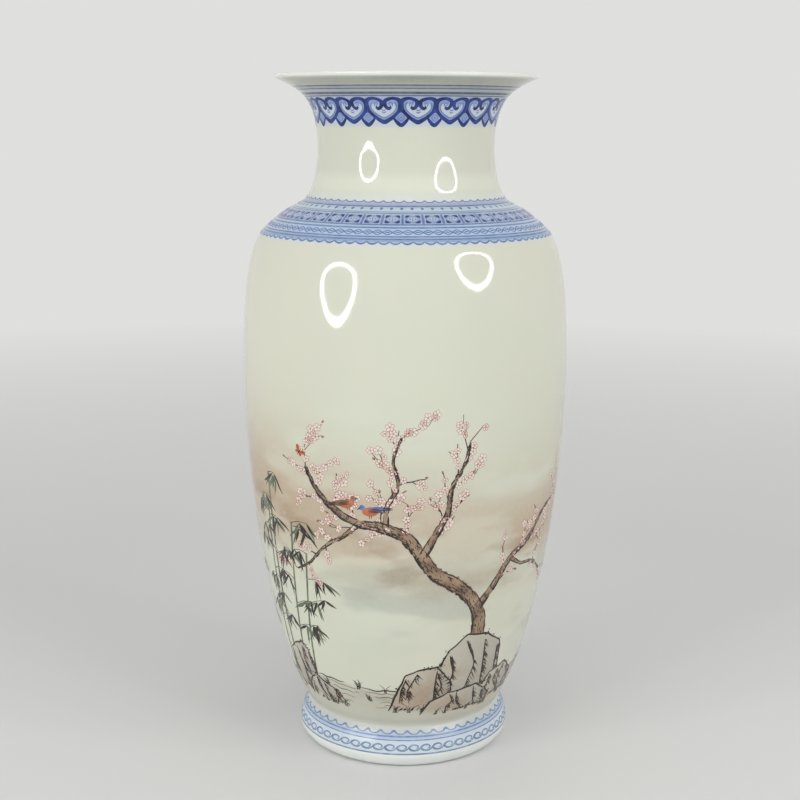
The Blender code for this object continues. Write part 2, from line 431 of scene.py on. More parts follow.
BELLY_RADIUS = 0.1013
BELLY_HEIGHT = 0.2414
BODY_WALL = 0.0040
RECESS_DEPTH = 0.0120
FLOOR_HEIGHT = 0.0195
FLOOR_FLAT_RADIUS = 0.0221
CORNER_HEIGHT = 0.0420
BEAD_HEIGHT = 0.0012
BEAD_WIDTH = 0.0052
THROWING_RING = 0.0085
THROWING_DEPTH = 0.00015
PLUG_ROUND = 0.0016
BASE_OVERRUN = 0.0001
BODY_ROW_STEP = 0.0014
INNER_ROW_STEP = 0.0035
BOWL_STEPS = 16
FLOOR_STEPS = 5
BASE_STEPS = 23

belly = (BELLY_RADIUS, BELLY_HEIGHT)
outline = Side(outline.points, stretch(ankle, 0.62, belly, 0.0, (0.23, 0.20)))


def lining(distances, wall, joints):
    """The inside of the wall at these distances, with throwing rings and a low bead of slip at
    each joint."""
    depth = wall + THROWING_DEPTH * np.sin(distances * 2 * pi / THROWING_RING)
    for joint in joints:
        share = (distances - outline.reach(joint)) / (BEAD_WIDTH / 2)
        depth = depth + BEAD_HEIGHT * np.clip(1.0 - share**2, 0.0, None)
    return outline.at(distances) - outline.out(distances) * depth[:, None]


def read(rows, label, width, kind=np.float32):
    """One of a mesh's own values, with a row of the array for each of its parts."""
    held = np.empty(len(rows) * width, kind)
    rows.foreach_get(label, held)
    return held.reshape(-1, width)


def smooth_joints(piece, heights):
    """Gives the outer edges of a piece the outline's own normals, so that the glaze runs unbroken
    over the joints with its neighbours."""
    close, alike = 2e-5, 0.8
    mesh = piece.data
    normals = read(mesh.corner_normals, "vector", 3)
    spots = read(mesh.vertices, "co", 3)[read(mesh.loops, "vertex_index", 1, np.int32)[:, 0]]
    girth = np.hypot(spots[:, 0], spots[:, 1]) + 1e-9
    for height in heights:
        distance = outline.reach(height)
        radius = outline.at(distance)[0]
        out_r, out_z = outline.out(distance)
        near = (abs(spots[:, 2] - height) < close) & (abs(girth - radius) < close)
        level = spots[:, :2] / girth[:, None] * out_r
        true = np.column_stack([level, np.full(len(spots), out_z)])
        near &= (true * normals).sum(1) > alike
        normals[near] = true[near]
    mesh.normals_split_custom_set(normals)


low, high = outline.reach(ANKLE_HEIGHT), outline.reach(BELLY_HEIGHT)
outer = outline.at(outline.rows(low, high, BODY_ROW_STEP))
inner_rows = outline.rows(high, outline.reach(CORNER_HEIGHT), INNER_ROW_STEP)
inside = lining(inner_rows, BODY_WALL, [BELLY_HEIGHT])
top, below = inside[-1], inside[-2]
lean = (below[0] - top[0]) / (below[1] - top[1])
drop = 0.4 * (top[1] - FLOOR_HEIGHT)
bowl = bezier((
    top,
    (top[0] - lean * drop, top[1] - drop),
    (FLOOR_FLAT_RADIUS + 0.3 * (top[0] - FLOOR_FLAT_RADIUS), FLOOR_HEIGHT),
    (FLOOR_FLAT_RADIUS, FLOOR_HEIGHT),
), BOWL_STEPS)[1:]
floor = [(r, FLOOR_HEIGHT) for r in np.linspace(FLOOR_FLAT_RADIUS, 0.0, FLOOR_STEPS + 1)[1:]]
turned_base = [
    (r, RECESS_DEPTH + THROWING_DEPTH * cos(r * 2 * pi / THROWING_RING))
    for r in np.linspace(0.0, RING_BORE - PLUG_ROUND + BASE_OVERRUN, BASE_STEPS + 1)
]
plug = [
    (RING_BORE - PLUG_ROUND / 4, RECESS_DEPTH + PLUG_ROUND / 4),
    (RING_BORE, RECESS_DEPTH + PLUG_ROUND),
    (RING_BORE, ANKLE_HEIGHT),
]
rows = np.concatenate([outer, inside, bowl, floor, turned_base, plug])
lower_body = turn("lower_body_glazed", rows, len(outer), outer_share=0.88, finish=glaze)
smooth_joints(lower_body, [ANKLE_HEIGHT, BELLY_HEIGHT])
smooth_joints(foot_ring, [ANKLE_HEIGHT])
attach(lower_body, "root")
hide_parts("lower_body", "foot_luting_slip")


# Upper body. The upper half of the wall, thrown apart and luted on at the widest girth: it closes in
# over the full shoulder. The glaze hides the joint outside, and a bead of slip can be felt inside.

SHOULDER_RADIUS = 0.0874
SHOULDER_HEIGHT = 0.3277
NECK_BASE_RADIUS = 0.0628
NECK_BASE_HEIGHT = 0.3450
SHOULDER_ROW_STEP = 0.0011

shoulder = (SHOULDER_RADIUS, SHOULDER_HEIGHT)
neck_base = (NECK_BASE_RADIUS, NECK_BASE_HEIGHT)
outline = Side(
    outline.points,
    stretch(belly, 0.0, shoulder, -1.02, (0.33, 0.14)),
    stretch(shoulder, -1.02, neck_base, -1.29, (0.78, 0.20)),
)
start, end = outline.reach(BELLY_HEIGHT), outline.reach(NECK_BASE_HEIGHT)
outer = outline.at(outline.rows(start, end, SHOULDER_ROW_STEP))

# The neck's stretches are needed here already, because the wall's inside at the joint leans with both
WAIST_RADIUS = 0.0541
WAIST_HEIGHT = 0.3755
MOUTH_RADIUS = 0.0795
MOUTH_HEIGHT = 0.4176

waist = (WAIST_RADIUS, WAIST_HEIGHT)
mouth = (MOUTH_RADIUS, MOUTH_HEIGHT)
outline = Side(
    outline.points,
    stretch(neck_base, -1.29, waist, 0.0, (0.16, 0.23)),
    stretch(waist, 0.0, mouth, 2.43, (0.67, 0.18)),
)
inside = lining(outline.rows(end, start, INNER_ROW_STEP), BODY_WALL, [BELLY_HEIGHT, NECK_BASE_HEIGHT])
rows = np.concatenate([outer, inside])
upper_body = turn("upper_body_glazed", rows, len(outer), outer_share=0.86, finish=glaze)
smooth_joints(upper_body, [BELLY_HEIGHT, NECK_BASE_HEIGHT])
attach(upper_body, "root")
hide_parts("upper_body", "belly_luting_slip")


# Neck and mouth. Thrown as one collar, waisted in the middle and opened to a trumpet mouth whose
# lip is rounded with a wet leather. It is luted on at the root of the neck.

NECK_WALL = 0.0034
LIP_WALL = 0.0026
LIP_STEPS = 14
NECK_ROW_STEP = 0.0009
NECK_INNER_ROW_STEP = 0.0018

start, end = outline.reach(NECK_BASE_HEIGHT), outline.along[-1]
narrowest = outline.reach(WAIST_HEIGHT)
outer = outline.at(outline.rows(start, end, NECK_ROW_STEP))
inner_rows = outline.rows(end, start, NECK_INNER_ROW_STEP)
wall = np.interp(inner_rows, [start, narrowest, end], [BODY_WALL, NECK_WALL, LIP_WALL])
inside = lining(inner_rows, wall, [NECK_BASE_HEIGHT])
across = (outer[-1] - inside[0]) / 2
centre = (outer[-1] + inside[0]) / 2
turns = np.linspace(0.0, pi, LIP_STEPS + 1)[1:-1, None]
lip = centre + across * np.cos(turns) + np.array((-across[1], across[0])) * np.sin(turns)
rows = np.concatenate([outer, lip, inside])
neck = turn("mouth_and_neck_glazed", rows, len(outer), outer_share=0.62, finish=glaze)
smooth_joints(neck, [NECK_BASE_HEIGHT])
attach(neck, "root")
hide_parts("mouth_and_neck", "neck_luting_slip")


# Foot border. Cobalt painted on the raw body with a fine brush while the vase turns, then glazed
# over: a peaked fringe, three rings and a running scroll over a thin blue wash.

PAINT_PROUD = 0.06
PAINT_SUNK = 0.03
STROKE_STEP = 0.8
FINEST_WIDTH = 0.04
STROKE_SHARP = radians(35)

# The hand drifts slowly over a large part of the vase, and a little over a few millimetres
SLOW_DRIFT, SLOW_SEED = 5.0, 1.7
QUICK_DRIFT, QUICK_SEED, QUICK_SHARE = 30.0, 4.1, 0.35
DRIFT_UP_THE_SIDE = 16.0
JOIN_GAP = 1e-6

glazed = [foot_ring, lower_body, upper_body, neck]


def smoothed(points, gap=STROKE_STEP):
    """A smooth path through rows of (x, y, width), with a row about every gap."""
    points = np.array(points, float)
    padded = np.concatenate([[2 * points[0] - points[1]], points, [2 * points[-1] - points[-2]]])
    path = []
    for a, b, c, d in zip(padded, padded[1:], padded[2:], padded[3:]):
        count = max(1, round(float(np.hypot(*(c - b)[:2])) / gap))
        share = np.arange(count)[:, None] / count
        square, cube = 2 * a - 5 * b + 4 * c - d, 3 * b - a - 3 * c + d
        path.append(0.5 * (2 * b + (c - a) * share + square * share**2 + cube * share**3))
    return np.concatenate(path + [points[-1:]])


def headings(rows, closed=False):
    """Unit directions along a path, and square to it on its left."""
    if closed:
        lean = np.roll(rows, -1, 0)[:, :2] - np.roll(rows, 1, 0)[:, :2]
    else:
        lean = np.gradient(rows[:, :2], axis=0)
    lean /= np.hypot(*lean.T)[:, None]
    return lean, np.stack([-lean[:, 1], lean[:, 0]], 1)


class Motif:
    """Flat painted strokes in millimetres: x runs round the vase, y up its side, and z is the
    paint's height."""

    def __init__(self):
        self.points, self.faces = [], []

    def stroke(self, points, proud=PAINT_PROUD, columns=1, gap=STROKE_STEP, capped=True, closed=False):
        """A closed thin ribbon along rows of (x, y, width)."""
        rows = smoothed(list(points) + list(points[:1]) if closed else points, gap)
        rows = rows[:-1] if closed else rows
        across = headings(rows, closed)[1] * np.maximum(rows[:, 2:], FINEST_WIDTH) / 2
        base, count, wide = len(self.points), len(rows), columns + 3
        for a, b in zip(rows[:, :2] + across, rows[:, :2] - across):
            self.points += [(*(a + (b - a) * column / columns), proud) for column in range(columns + 1)]
            self.points += [(*b, -PAINT_SUNK), (*a, -PAINT_SUNK)]
        for row in range(count if closed else count - 1):
            here, there = base + row * wide, base + (row + 1) % count * wide
            for side in range(wide):
                after = (side + 1) % wide
                self.faces.append((here + side, here + after, there + after, there + side))
        if capped and not closed:
            self.faces.append(tuple(base + side for side in reversed(range(wide))))
            self.faces.append(tuple(base + (count - 1) * wide + side for side in range(wide)))

    def blob(self, edge, proud):
        """A filled spot inside a closed edge of (x, y) points, given anticlockwise."""
        base, count = len(self.points), len(edge)
        self.points += [(x, y, proud) for x, y in edge] + [(x, y, -PAINT_SUNK) for x, y in edge]
        self.points.append((*np.mean(edge, axis=0), proud))
        for here in range(count):
            after = (here + 1) % count
            self.faces.append((base + here, base + after, base + 2 * count))
            self.faces.append((base + here, base + count + here, base + count + after, base + after))
        self.faces.append(tuple(base + count + here for here in reversed(range(count))))

    def dot(self, x, y, size):
        rows = ((-0.5, 0.3), (-0.2, 0.95), (0.2, 0.95), (0.5, 0.3))
        self.stroke([(x + share * size, y, wide * size) for share, wide in rows], gap=0.2 * size)

    def both(self, points, about=0.0, proud=PAINT_PROUD):
        """A stroke and its mirror image, drawn as one where it ends on the mirror line."""
        mirrored = [(2 * about - x, *rest) for x, *rest in points]
        if abs(points[-1][0] - about) < 1e-6:
            self.stroke(points + mirrored[-2::-1], proud)
        else:
            self.stroke(points, proud)
            self.stroke(mirrored, proud)


def painting_tree():
    """Repeats a flat motif round the vase and lays it on the outline, a little unsteadily."""
    tree, given = group_tree("painted_round", {
        "Outline": "Object", "Copies": "Int", "Girth Radius": "Float", "Turn": "Float",
        "Level": "Float", "Hand": "Float", "Joined": "Bool", "Paint": "Material",
    })
    guide = add(tree, "GeometryNodeObjectInfo", values={"Object": given["Outline"]}, out="Geometry")
    pitch = given["Girth Radius"] * (2 * pi) / given["Copies"]
    offset = add(tree, "ShaderNodeCombineXYZ", values={"X": pitch})
    row = add(tree, "GeometryNodeMeshLine", values={"Count": given["Copies"], "Offset": offset})
    motifs = {"Points": row, "Instance": given["Geometry"]}
    copies = add(tree, "GeometryNodeInstanceOnPoints", values=motifs)
    real = add(tree, "GeometryNodeRealizeInstances", values={"Geometry": copies})
    x, y, proud = parts_of(tree, add(tree, "GeometryNodeInputPosition"), "X", "Y", "Z")
    angle = x / given["Girth Radius"] + given["Turn"]
    round_spot = turned_spot(tree, 1.0, angle, (y + given["Level"]) * DRIFT_UP_THE_SIDE)

    def wander(scale, seed):
        settings = {"noise_dimensions": "4D"}
        values = {"Vector": round_spot, "W": seed, "Scale": scale, "Detail": 0.0}
        colour = add(tree, "ShaderNodeTexNoise", settings, values, out=1)
        across, along = parts_of(tree, colour, "X", "Y")
        return across * 2 - 1, along * 2 - 1

    slow_x, slow_y = wander(SLOW_DRIFT, SLOW_SEED)
    quick_x, quick_y = wander(QUICK_DRIFT, QUICK_SEED)
    angle = angle + (slow_x + quick_x * QUICK_SHARE) * given["Hand"] / given["Girth Radius"]
    distance = y + given["Level"] + (slow_y + quick_y * QUICK_SHARE) * given["Hand"]
    at, lean = add(
        tree, "GeometryNodeSampleCurve", {"mode": "LENGTH", "use_all_curves": True},
        {"Curves": guide, "Length": distance}, out=("Position", "Tangent"),
    )
    radius, height = parts_of(tree, at, "X", "Z")
    lean_r, lean_z = parts_of(tree, lean, "X", "Z")
    place = turned_spot(tree, radius + lean_z * proud, angle, height - lean_r * proud)
    laid = add(tree, "GeometryNodeSetPosition", values={"Geometry": real, "Position": place})
    merged = add(tree, "GeometryNodeMergeByDistance", values={"Geometry": laid, "Distance": JOIN_GAP})
    chosen = add(
        tree, "GeometryNodeSwitch", {"input_type": "GEOMETRY"},
        {"Switch": given["Joined"], "False": laid, "True": merged},
    )
    end_tree(tree, chosen, given["Paint"])
    return tree


painted_round = painting_tree()
curve = bpy.data.curves.new("outline", "CURVE")
curve.dimensions = "3D"
spline = curve.splines.new("POLY")
spline.points.add(len(outline.points) - 1)
for spot, (r, z) in zip(spline.points, outline.points):
    spot.co = (r, 0.0, z, 1.0)
outline_guide = new_object("outline", curve)


def paint_round(
    name, motif, paint, level, girth, copies, start=0.0, hand=0.10, slot="blue_painting", joined=False,
):
    """Lays a motif on the glaze in equal copies, joined end to end where they make a line right
    round. Level is in millimetres along the outline, girth is the radius there in millimetres,
    start is in degrees round the vase, and hand is how far the brush strays."""
    mesh = bpy.data.meshes.new(name)
    mesh.from_pydata((np.array(motif.points) / 1000).tolist(), [], motif.faces)
    piece = new_object(name, mesh)
    mesh = apply_tree(piece, painted_round, {
        "Outline": outline_guide, "Copies": copies, "Girth Radius": girth / 1000, "Turn": radians(start),
        "Level": level / 1000, "Hand": hand / 1000, "Joined": joined, "Paint": paint,
    })
    mesh.set_sharp_from_angle(angle=STROKE_SHARP)
    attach(piece, "root")


def rings(name, paint, girth, *levels_and_widths):
    """Plain painted lines right round the vase."""
    parts = 48
    pitch = 2 * pi * girth / parts
    motif = Motif()
    for level, width in levels_and_widths:
        motif.stroke([(0.0, level, width), (pitch, level, width)], gap=pitch / 3, capped=False)
    paint_round(name, motif, paint, level=0.0, girth=girth, copies=parts, hand=0.08, joined=True)


def fringe(name, paint, scallop, girth, copies, **where):
    """A row of scallops, each drawn out to its end and mirrored there."""
    half = pi * girth / copies
    motif = Motif()
    motif.both(scallop(half), half)
    paint_round(name, motif, paint, girth=girth, copies=copies, **where)


def brushed(name, thick, thin, patch, detail, contrast, grain_scale, grain_range, grain_share):
    """A painted colour: its thick tone where the brush lingered, its thin one elsewhere, and a fine
    grain of the thin one over both."""
    finish = Finish(name, IOR=GLAZE_IOR)
    pool = finish.between(0.5 - contrast, 0.5 + contrast, finish.noise(patch, detail))
    grain = finish.between(*grain_range, finish.noise(grain_scale, 2.0))
    colour = finish.mix(pool, srgb(*thick), srgb(*thin))
    finish.set("Base Color", finish.mix(grain * grain_share, colour, srgb(*thin)))
    return finish


def cobalt(name, thick, thin, patch=260.0):
    """Cobalt under the glaze, with the glaze's own gloss."""
    finish = brushed(name, thick, thin, patch, 2.0, 0.18, 1900.0, (0.3, 0.8), 0.25)
    gloss(finish)
    return finish.made


def ramp(value, low, high):
    """A soft step from 0 at low to 1 at high."""
    share = np.clip((value - low) / (high - low), 0.0, 1.0)
    return share * share * (3 - 2 * share)


def lay_wash(colour, cover):
    """Lays a thin wash on the glazed pieces. Cover gives its strength from the angle round the vase
    and the distance up the outline, in millimetres."""
    on_the_wall, faintest, nothing = 0.0005, 1e-4, 1e-6
    colour = np.array(srgb(*colour)[:3])
    for piece in glazed:
        wash = piece.data.attributes["wash"].data
        x, y, z = read(piece.data.vertices, "co", 3).T
        radius = np.hypot(x, y)
        on_lip = z > MOUTH_HEIGHT
        over_lip = on_lip * (z - MOUTH_HEIGHT + np.clip(MOUTH_RADIUS - radius, 0.0, None))
        distance = np.interp(z, outline.points[:, 1], outline.along) + over_lip
        outside = abs(radius - np.interp(z, outline.points[:, 1], outline.points[:, 0])) < on_the_wall
        share = cover(np.arctan2(y, x), distance * 1000) * (outside | on_lip)
        held = read(wash, "color", 4)
        under = held[:, 3] * (1 - share)
        alpha = share + under
        mixed = share[:, None] * colour + under[:, None] * held[:, :3]
        mixed /= np.maximum(alpha, nothing)[:, None]
        tone = np.where(alpha[:, None] > faintest, mixed, held[:, :3])
        laid = np.concatenate([tone, alpha[:, None]], 1).astype(np.float32)
        wash.foreach_set("color", laid.ravel())


def lay_bands(*bands):
    """Washes right round the vase, one after the other. Each row holds a colour, its strength, the
    levels it lies between and how softly it ends there."""
    for colour, strength, low, high, soft in bands:
        lay_wash(colour, lambda angle, s: strength * (
            ramp(s, low - soft, low + soft) * (1 - ramp(s, high - soft, high + soft))
        ))


lay_bands(
    ((216, 230, 242), 0.9, 13.6, 26.0, 0.7),
    ((178, 196, 230), 0.75, 22.0, 25.8, 0.5),
    # Painted shade: a warm grey band in the concave ankle above the foot
    ((206, 205, 192), 0.7, 32.0, 37.0, 2.5),
)
# A grey-blue halo above the fringe, toned darker as painted shade towards the concave ankle
lay_wash((209, 214, 216), lambda angle, s: 0.85 * (1 - ramp(s, 27.5, 33.0)) * ramp(s, 25.5, 26.0))
lay_wash((242, 246, 243), lambda angle, s: 0.95 * (s < 13.4))

pale_cobalt = cobalt("pale_cobalt", (110, 132, 166), (154, 174, 202))
fringe("foot_border_fringe", pale_cobalt, lambda half: [
    (0.0, -0.1, 0.7), (1.3, 0.05, 0.8), (2.5, 0.6, 0.9), (half - 0.9, 1.45, 1.25), (half, 1.85, 1.55),
], level=25.4, girth=63.4, copies=48, start=-99.1)
rings("foot_border_ring", pale_cobalt, 64.2, (23.9, 1.0))
rings("foot_border_rings", pale_cobalt, 65.5, (21.6, 0.7), (13.1, 0.9))

scroll = Motif()
scroll.stroke([
    (-4.1, -0.8, 0.5), (-3.2, -0.1, 1.3), (-1.8, 1.05, 1.0), (0.0, 1.45, 0.9), (1.7, 1.05, 0.9),
    (2.45, 0.15, 0.95), (1.9, -0.7, 0.7), (0.9, -0.75, 0.3),
], gap=0.7)
scroll.stroke([
    (-3.6, -0.1, 0.8), (-2.7, -1.2, 1.4), (-1.1, -1.95, 1.1), (0.9, -2.0, 1.0), (2.5, -1.5, 0.9),
    (3.8, -0.5, 0.7),
], gap=0.7)
paint_round(
    "foot_border_scroll", scroll, pale_cobalt, level=17.4, girth=66.6, copies=56, start=-97.0, hand=0.14,
)


# Shoulder border. The widest of the three borders, painted in rows between rings: a scalloped
# fringe, dots, panels with reserved ovals, a twisted chain and a second fringe.

lay_bands(
    ((182, 192, 218), 0.9, 369.6, 373.6, 0.6),
    ((148, 160, 212), 0.5, 369.6, 371.2, 0.5),
    ((198, 217, 230), 0.95, 364.2, 369.2, 0.5),
    ((208, 228, 242), 0.8, 364.4, 366.8, 0.5),
    ((184, 203, 222), 0.95, 360.6, 364.4, 0.4),
    ((146, 166, 214), 0.9, 352.0, 360.6, 0.4),
    ((184, 208, 236), 0.95, 342.4, 351.6, 0.6),
    ((150, 180, 216), 0.95, 337.7, 342.0, 0.6),
)
lay_wash((218, 226, 234), lambda angle, s: 0.6 * ramp(s, 334.0, 337.2) * (s < 337.6))
lay_bands(((240, 242, 224), 0.7, 378.0, 389.0, 4.0))
lay_wash((234, 239, 236), lambda angle, s: 0.7 * (1 - ramp(s, 375.5, 380.0)) * (s > 373.0))

cobalt_line = cobalt("cobalt_line", (94, 118, 170), (130, 152, 196))
rings("shoulder_ring_upper", cobalt_line, 63.6, (369.6, 1.0))
rings(
    "shoulder_rings", cobalt_line, 75.0,
    (363.9, 0.3), (362.2, 0.55), (351.7, 1.0), (349.2, 1.0), (340.3, 1.0),
)
rings("shoulder_ring_lower", cobalt_line, 86.0, (342.3, 0.95))

fringe("shoulder_fringe_upper", cobalt_line, lambda half: [
    (0.0, 0.8, 0.8), (0.6, 0.15, 0.75), (1.6, -0.3, 0.6), (half, -0.4, 0.5),
], level=373.3, girth=60.8, copies=64, start=-91.0)

dots = Motif()
drop = ((1.0, 0.8), (0.5, 2.0), (-0.2, 1.9), (-0.9, 1.1), (-1.6, 0.4))
dots.stroke([(0.0, y, width) for y, width in drop], gap=0.5)
paint_round("shoulder_dots", dots, cobalt_line, level=367.5, girth=65.9, copies=70, start=-92.0, hand=0.16)

PANEL_COPIES = 41
PANEL_GIRTH = 74.8
PANEL_PROUD = 0.05

half = pi * PANEL_GIRTH / PANEL_COPIES
frames, corners, hearts, bars = Motif(), Motif(), Motif(), Motif()
side, top = half - 1.25, 4.0
for sign in (-1, 1):
    frames.stroke([(sign * side, -top, 0.4), (sign * side, top, 0.4)], PANEL_PROUD)
    frames.stroke([(-side, sign * top, 0.25), (side, sign * top, 0.25)], PANEL_PROUD, gap=2.0)
bars.stroke([(half, -top - 0.5, 0.9), (half, top + 0.5, 0.9)])
oval = [(-3.1, 0.0, 0.3), (-2.3, 0.0, 2.1), (0.0, 0.0, 3.7), (2.3, 0.0, 2.1), (3.1, 0.0, 0.3)]
frames.stroke(oval, PANEL_PROUD, 4, 0.6)
corner = ((3.95, 1.0, 0.4), (3.8, 1.9, 1.2), (3.3, 2.6, 2.2), (2.4, 3.0, 1.3), (1.3, 3.2, 0.4))
for sign_x in (-1, 1):
    for sign_y in (-1, 1):
        corners.stroke([(sign_x * x, sign_y * y, width) for x, y, width in corner], gap=0.6)
for spot in ((0.0, 0.0, 0.75), (-1.55, 0.0, 1.0), (1.55, 0.0, 1.0), (0.0, 1.0, 0.8), (0.0, -1.0, 0.8)):
    hearts.dot(*spot)
pale_reserve = cobalt("pale_reserve", (184, 200, 226), (206, 216, 230))
corner_cobalt = cobalt("corner_cobalt", (46, 62, 118), (78, 96, 148))
for name, motif, paint in (
    ("frames", frames, pale_reserve), ("bars", bars, cobalt_line),
    ("corners", corners, corner_cobalt), ("hearts", hearts, cobalt_line),
):
    paint_round("shoulder_panel_" + name, motif, paint, 356.6, PANEL_GIRTH, PANEL_COPIES, start=-95.7)

CHAIN_COPIES = 46
CHAIN_GIRTH = 83.7

chain = Motif()
half = pi * CHAIN_GIRTH / CHAIN_COPIES
for sign in (-1, 1):
    chain.stroke([
        (-half, 0.0, 0.8), (-half / 2, sign * 1.75, 0.6), (0.0, 0.0, 0.8), (half / 2, -sign * 1.75, 0.6),
        (half, 0.0, 0.8),
    ], gap=1.0)
    x = sign * half / 2
    chain.stroke([(x - 1.5, -0.35, 0.3), (x - 0.4, 0.2, 1.0), (x + 0.5, -0.1, 0.9), (x + 1.5, 0.3, 0.3)])
paint_round("shoulder_chain", chain, cobalt_line, 345.6, CHAIN_GIRTH, CHAIN_COPIES, start=-95.0, hand=0.14)

fringe("shoulder_fringe_lower", cobalt_line, lambda half: [
    (0.0, 0.85, 0.6), (0.8, 0.1, 0.8), (1.9, -0.55, 1.0), (half, -0.8, 1.25),
], level=337.9, girth=89.2, copies=85, start=-91.5)


# Mouth border. Under the flare of the mouth run three fine rings and one broad one, and below them
# a row of cloud-shaped heads, each with two inward curls, with lozenges hung between them.

LIP_LEVEL = outline.along[-1] * 1000

for colour, low, full, fading, gone in (
    # Painted shade: a darker, greyer wash on the underside of the flaring mouth
    ((182, 184, 170), 444.0, 447.0, LIP_LEVEL - 3.0, LIP_LEVEL - 0.5),
    # A whiter lip: partly the thin glaze on its rounded edge, partly a painted highlight along its top
    ((248, 249, 243), LIP_LEVEL - 1.0, LIP_LEVEL + 0.3, LIP_LEVEL + 3.6, LIP_LEVEL + 7.0),
):
    lay_wash(colour, lambda angle, s: 0.9 * ramp(s, low, full) * (1 - ramp(s, fading, gone)))
lay_bands(
    ((174, 182, 196), 0.85, 436.8, 445.0, 0.6),
    ((166, 182, 218), 0.85, 434.6, 436.8, 0.4),
    ((166, 172, 176), 0.7, 441.8, 445.0, 0.6),
    ((172, 184, 226), 0.85, 431.0, 434.9, 0.9),
    ((196, 210, 232), 0.7, 417.0, 431.0, 1.6),
)

slate_cobalt = cobalt("slate_cobalt", (88, 94, 104), (116, 122, 134))
cobalt_wash = cobalt("cobalt_wash", (128, 146, 206), (160, 180, 222), 180.0)
deep_cobalt = cobalt("deep_cobalt", (2, 14, 78), (44, 74, 152), 190.0)
rings("mouth_rings", slate_cobalt, 65.0, (444.8, 1.2), (441.7, 0.8), (435.8, 0.7))
rings("mouth_ring_broad", slate_cobalt, 63.3, (437.9, 1.8))

HEAD_COPIES = 18
HEAD_GIRTH = 58.0
WASH_PROUD = 0.035

half = pi * HEAD_GIRTH / HEAD_COPIES
heads, folds, washes = Motif(), Motif(), Motif()
lobe = [
    (half, -3.2, 3.2), (half - 1.7, -1.3, 2.5), (half - 4.4, -0.5, 2.0), (half - 7.1, -1.1, 2.1),
    (1.1, -2.6, 2.5), (0.95, -4.6, 2.5), (1.9, -6.4, 2.0), (3.2, -7.0, 2.2), (4.2, -6.4, 1.6),
    (4.1, -5.4, 0.5),
]
flank = [
    (half, -2.6, 3.4), (half - 0.2, -5.6, 2.9), (half - 1.6, -8.9, 2.1), (half - 4.6, -11.9, 2.1),
    (half - 7.6, -13.9, 2.4), (0.0, -14.9, 2.6),
]
fold = [(5.0, -5.6, 0.6), (5.3, -4.2, 0.7), (4.3, -3.3, 0.6), (3.2, -4.0, 0.5)]
inner_edge = [
    (6.2, -3.1, 0.5), (7.4, -4.2, 0.75), (7.5, -6.6, 0.8), (6.0, -9.0, 0.8), (3.2, -11.1, 0.85),
    (0.0, -12.4, 0.8),
]
tint = [
    (4.2, -5.3, 1.4), (3.4, -4.0, 2.2), (4.6, -2.7, 2.6), (6.7, -2.9, 2.7), (8.0, -4.6, 2.5),
    (8.1, -7.2, 2.3), (6.6, -9.9, 2.1), (3.6, -12.0, 2.1), (0.0, -13.3, 1.9),
]
for motif, points in ((heads, lobe), (heads, flank), (folds, fold), (folds, inner_edge)):
    motif.both(points)
washes.both(tint, proud=WASH_PROUD)
for y in (-8.2, -9.6):
    folds.stroke([(-1.3, y + 0.8, 0.4), (0.0, y, 0.75), (1.3, y + 0.8, 0.4)], gap=0.5)
lozenge = [(0.0, -8.8, 0.9), (2.3, -10.1, 1.0), (4.1, -12.6, 1.3), (2.4, -15.0, 2.0), (0.0, -16.7, 2.3)]
heads.both([(x + half, y, width) for x, y, width in lozenge], half)
filling = ((-9.2, 0.6), (-10.8, 4.0), (-12.6, 7.4), (-14.4, 4.6), (-16.3, 1.0))
washes.stroke([(half, y, width) for y, width in filling], WASH_PROUD, 4)
diamond = [(half, -10.4, 0.35), (half + 1.9, -12.2, 0.55), (half, -14.2, 0.5), (half - 1.9, -12.2, 0.55)]
folds.stroke(diamond, gap=0.6, closed=True)
folds.dot(half, -12.2, 1.1)
for name, motif, paint in (
    ("mouth_heads", heads, deep_cobalt), ("mouth_head_folds", folds, cobalt_line),
    ("mouth_head_washes", washes, cobalt_wash),
):
    paint_round(name, motif, paint, 434.4, HEAD_GIRTH, HEAD_COPIES, start=-103.0, hand=0.16)


# Painted ground and mist. The scene is painted over the glaze in thin enamels and fired on at a low
# heat. Soft washes of ochre, grey and brown go on first: mist behind the tree, and the ground.

MOTTLE_ROWS = 256
MOTTLE_REACH = 0.55
MOTTLE_START = 7.3


def mottle(angle, distance, cells, seed, octaves=3):
    """Smooth noise from 0 to 1 over the vase's side, with this many cells round it."""
    total, weight = 0.0, 0.0
    for octave in range(octaves):
        around = cells * 2**octave
        table = np.random.default_rng(seed + octave).random((around, MOTTLE_ROWS))
        x, y = angle / (2 * pi) * around, distance / MOTTLE_REACH * around + MOTTLE_START
        i, j = np.floor(x).astype(int), np.floor(y).astype(int)
        u, v = x - i, y - j
        u, v = u * u * (3 - 2 * u), v * v * (3 - 2 * v)
        low, high = (
            table[i % around, row % MOTTLE_ROWS] * (1 - u) + table[(i + 1) % around, row % MOTTLE_ROWS] * u
            for row in (j, j + 1)
        )
        total = total + (low * (1 - v) + high * v) * 0.5**octave
        weight += 0.5**octave
    return total / weight


def ground_line(angle):
    """How far up the outline the painted ground reaches, in millimetres."""
    return 60.0 + 9.0 * np.sin(angle + 2.2) + 5.0 * np.sin(2 * angle + 0.4) + 2.5 * np.sin(5 * angle + 1.0)


def bell(s, level, reach):
    """Full strength at a level, fading out evenly above and below it."""
    return np.exp(-((s - level) / reach) ** 2)


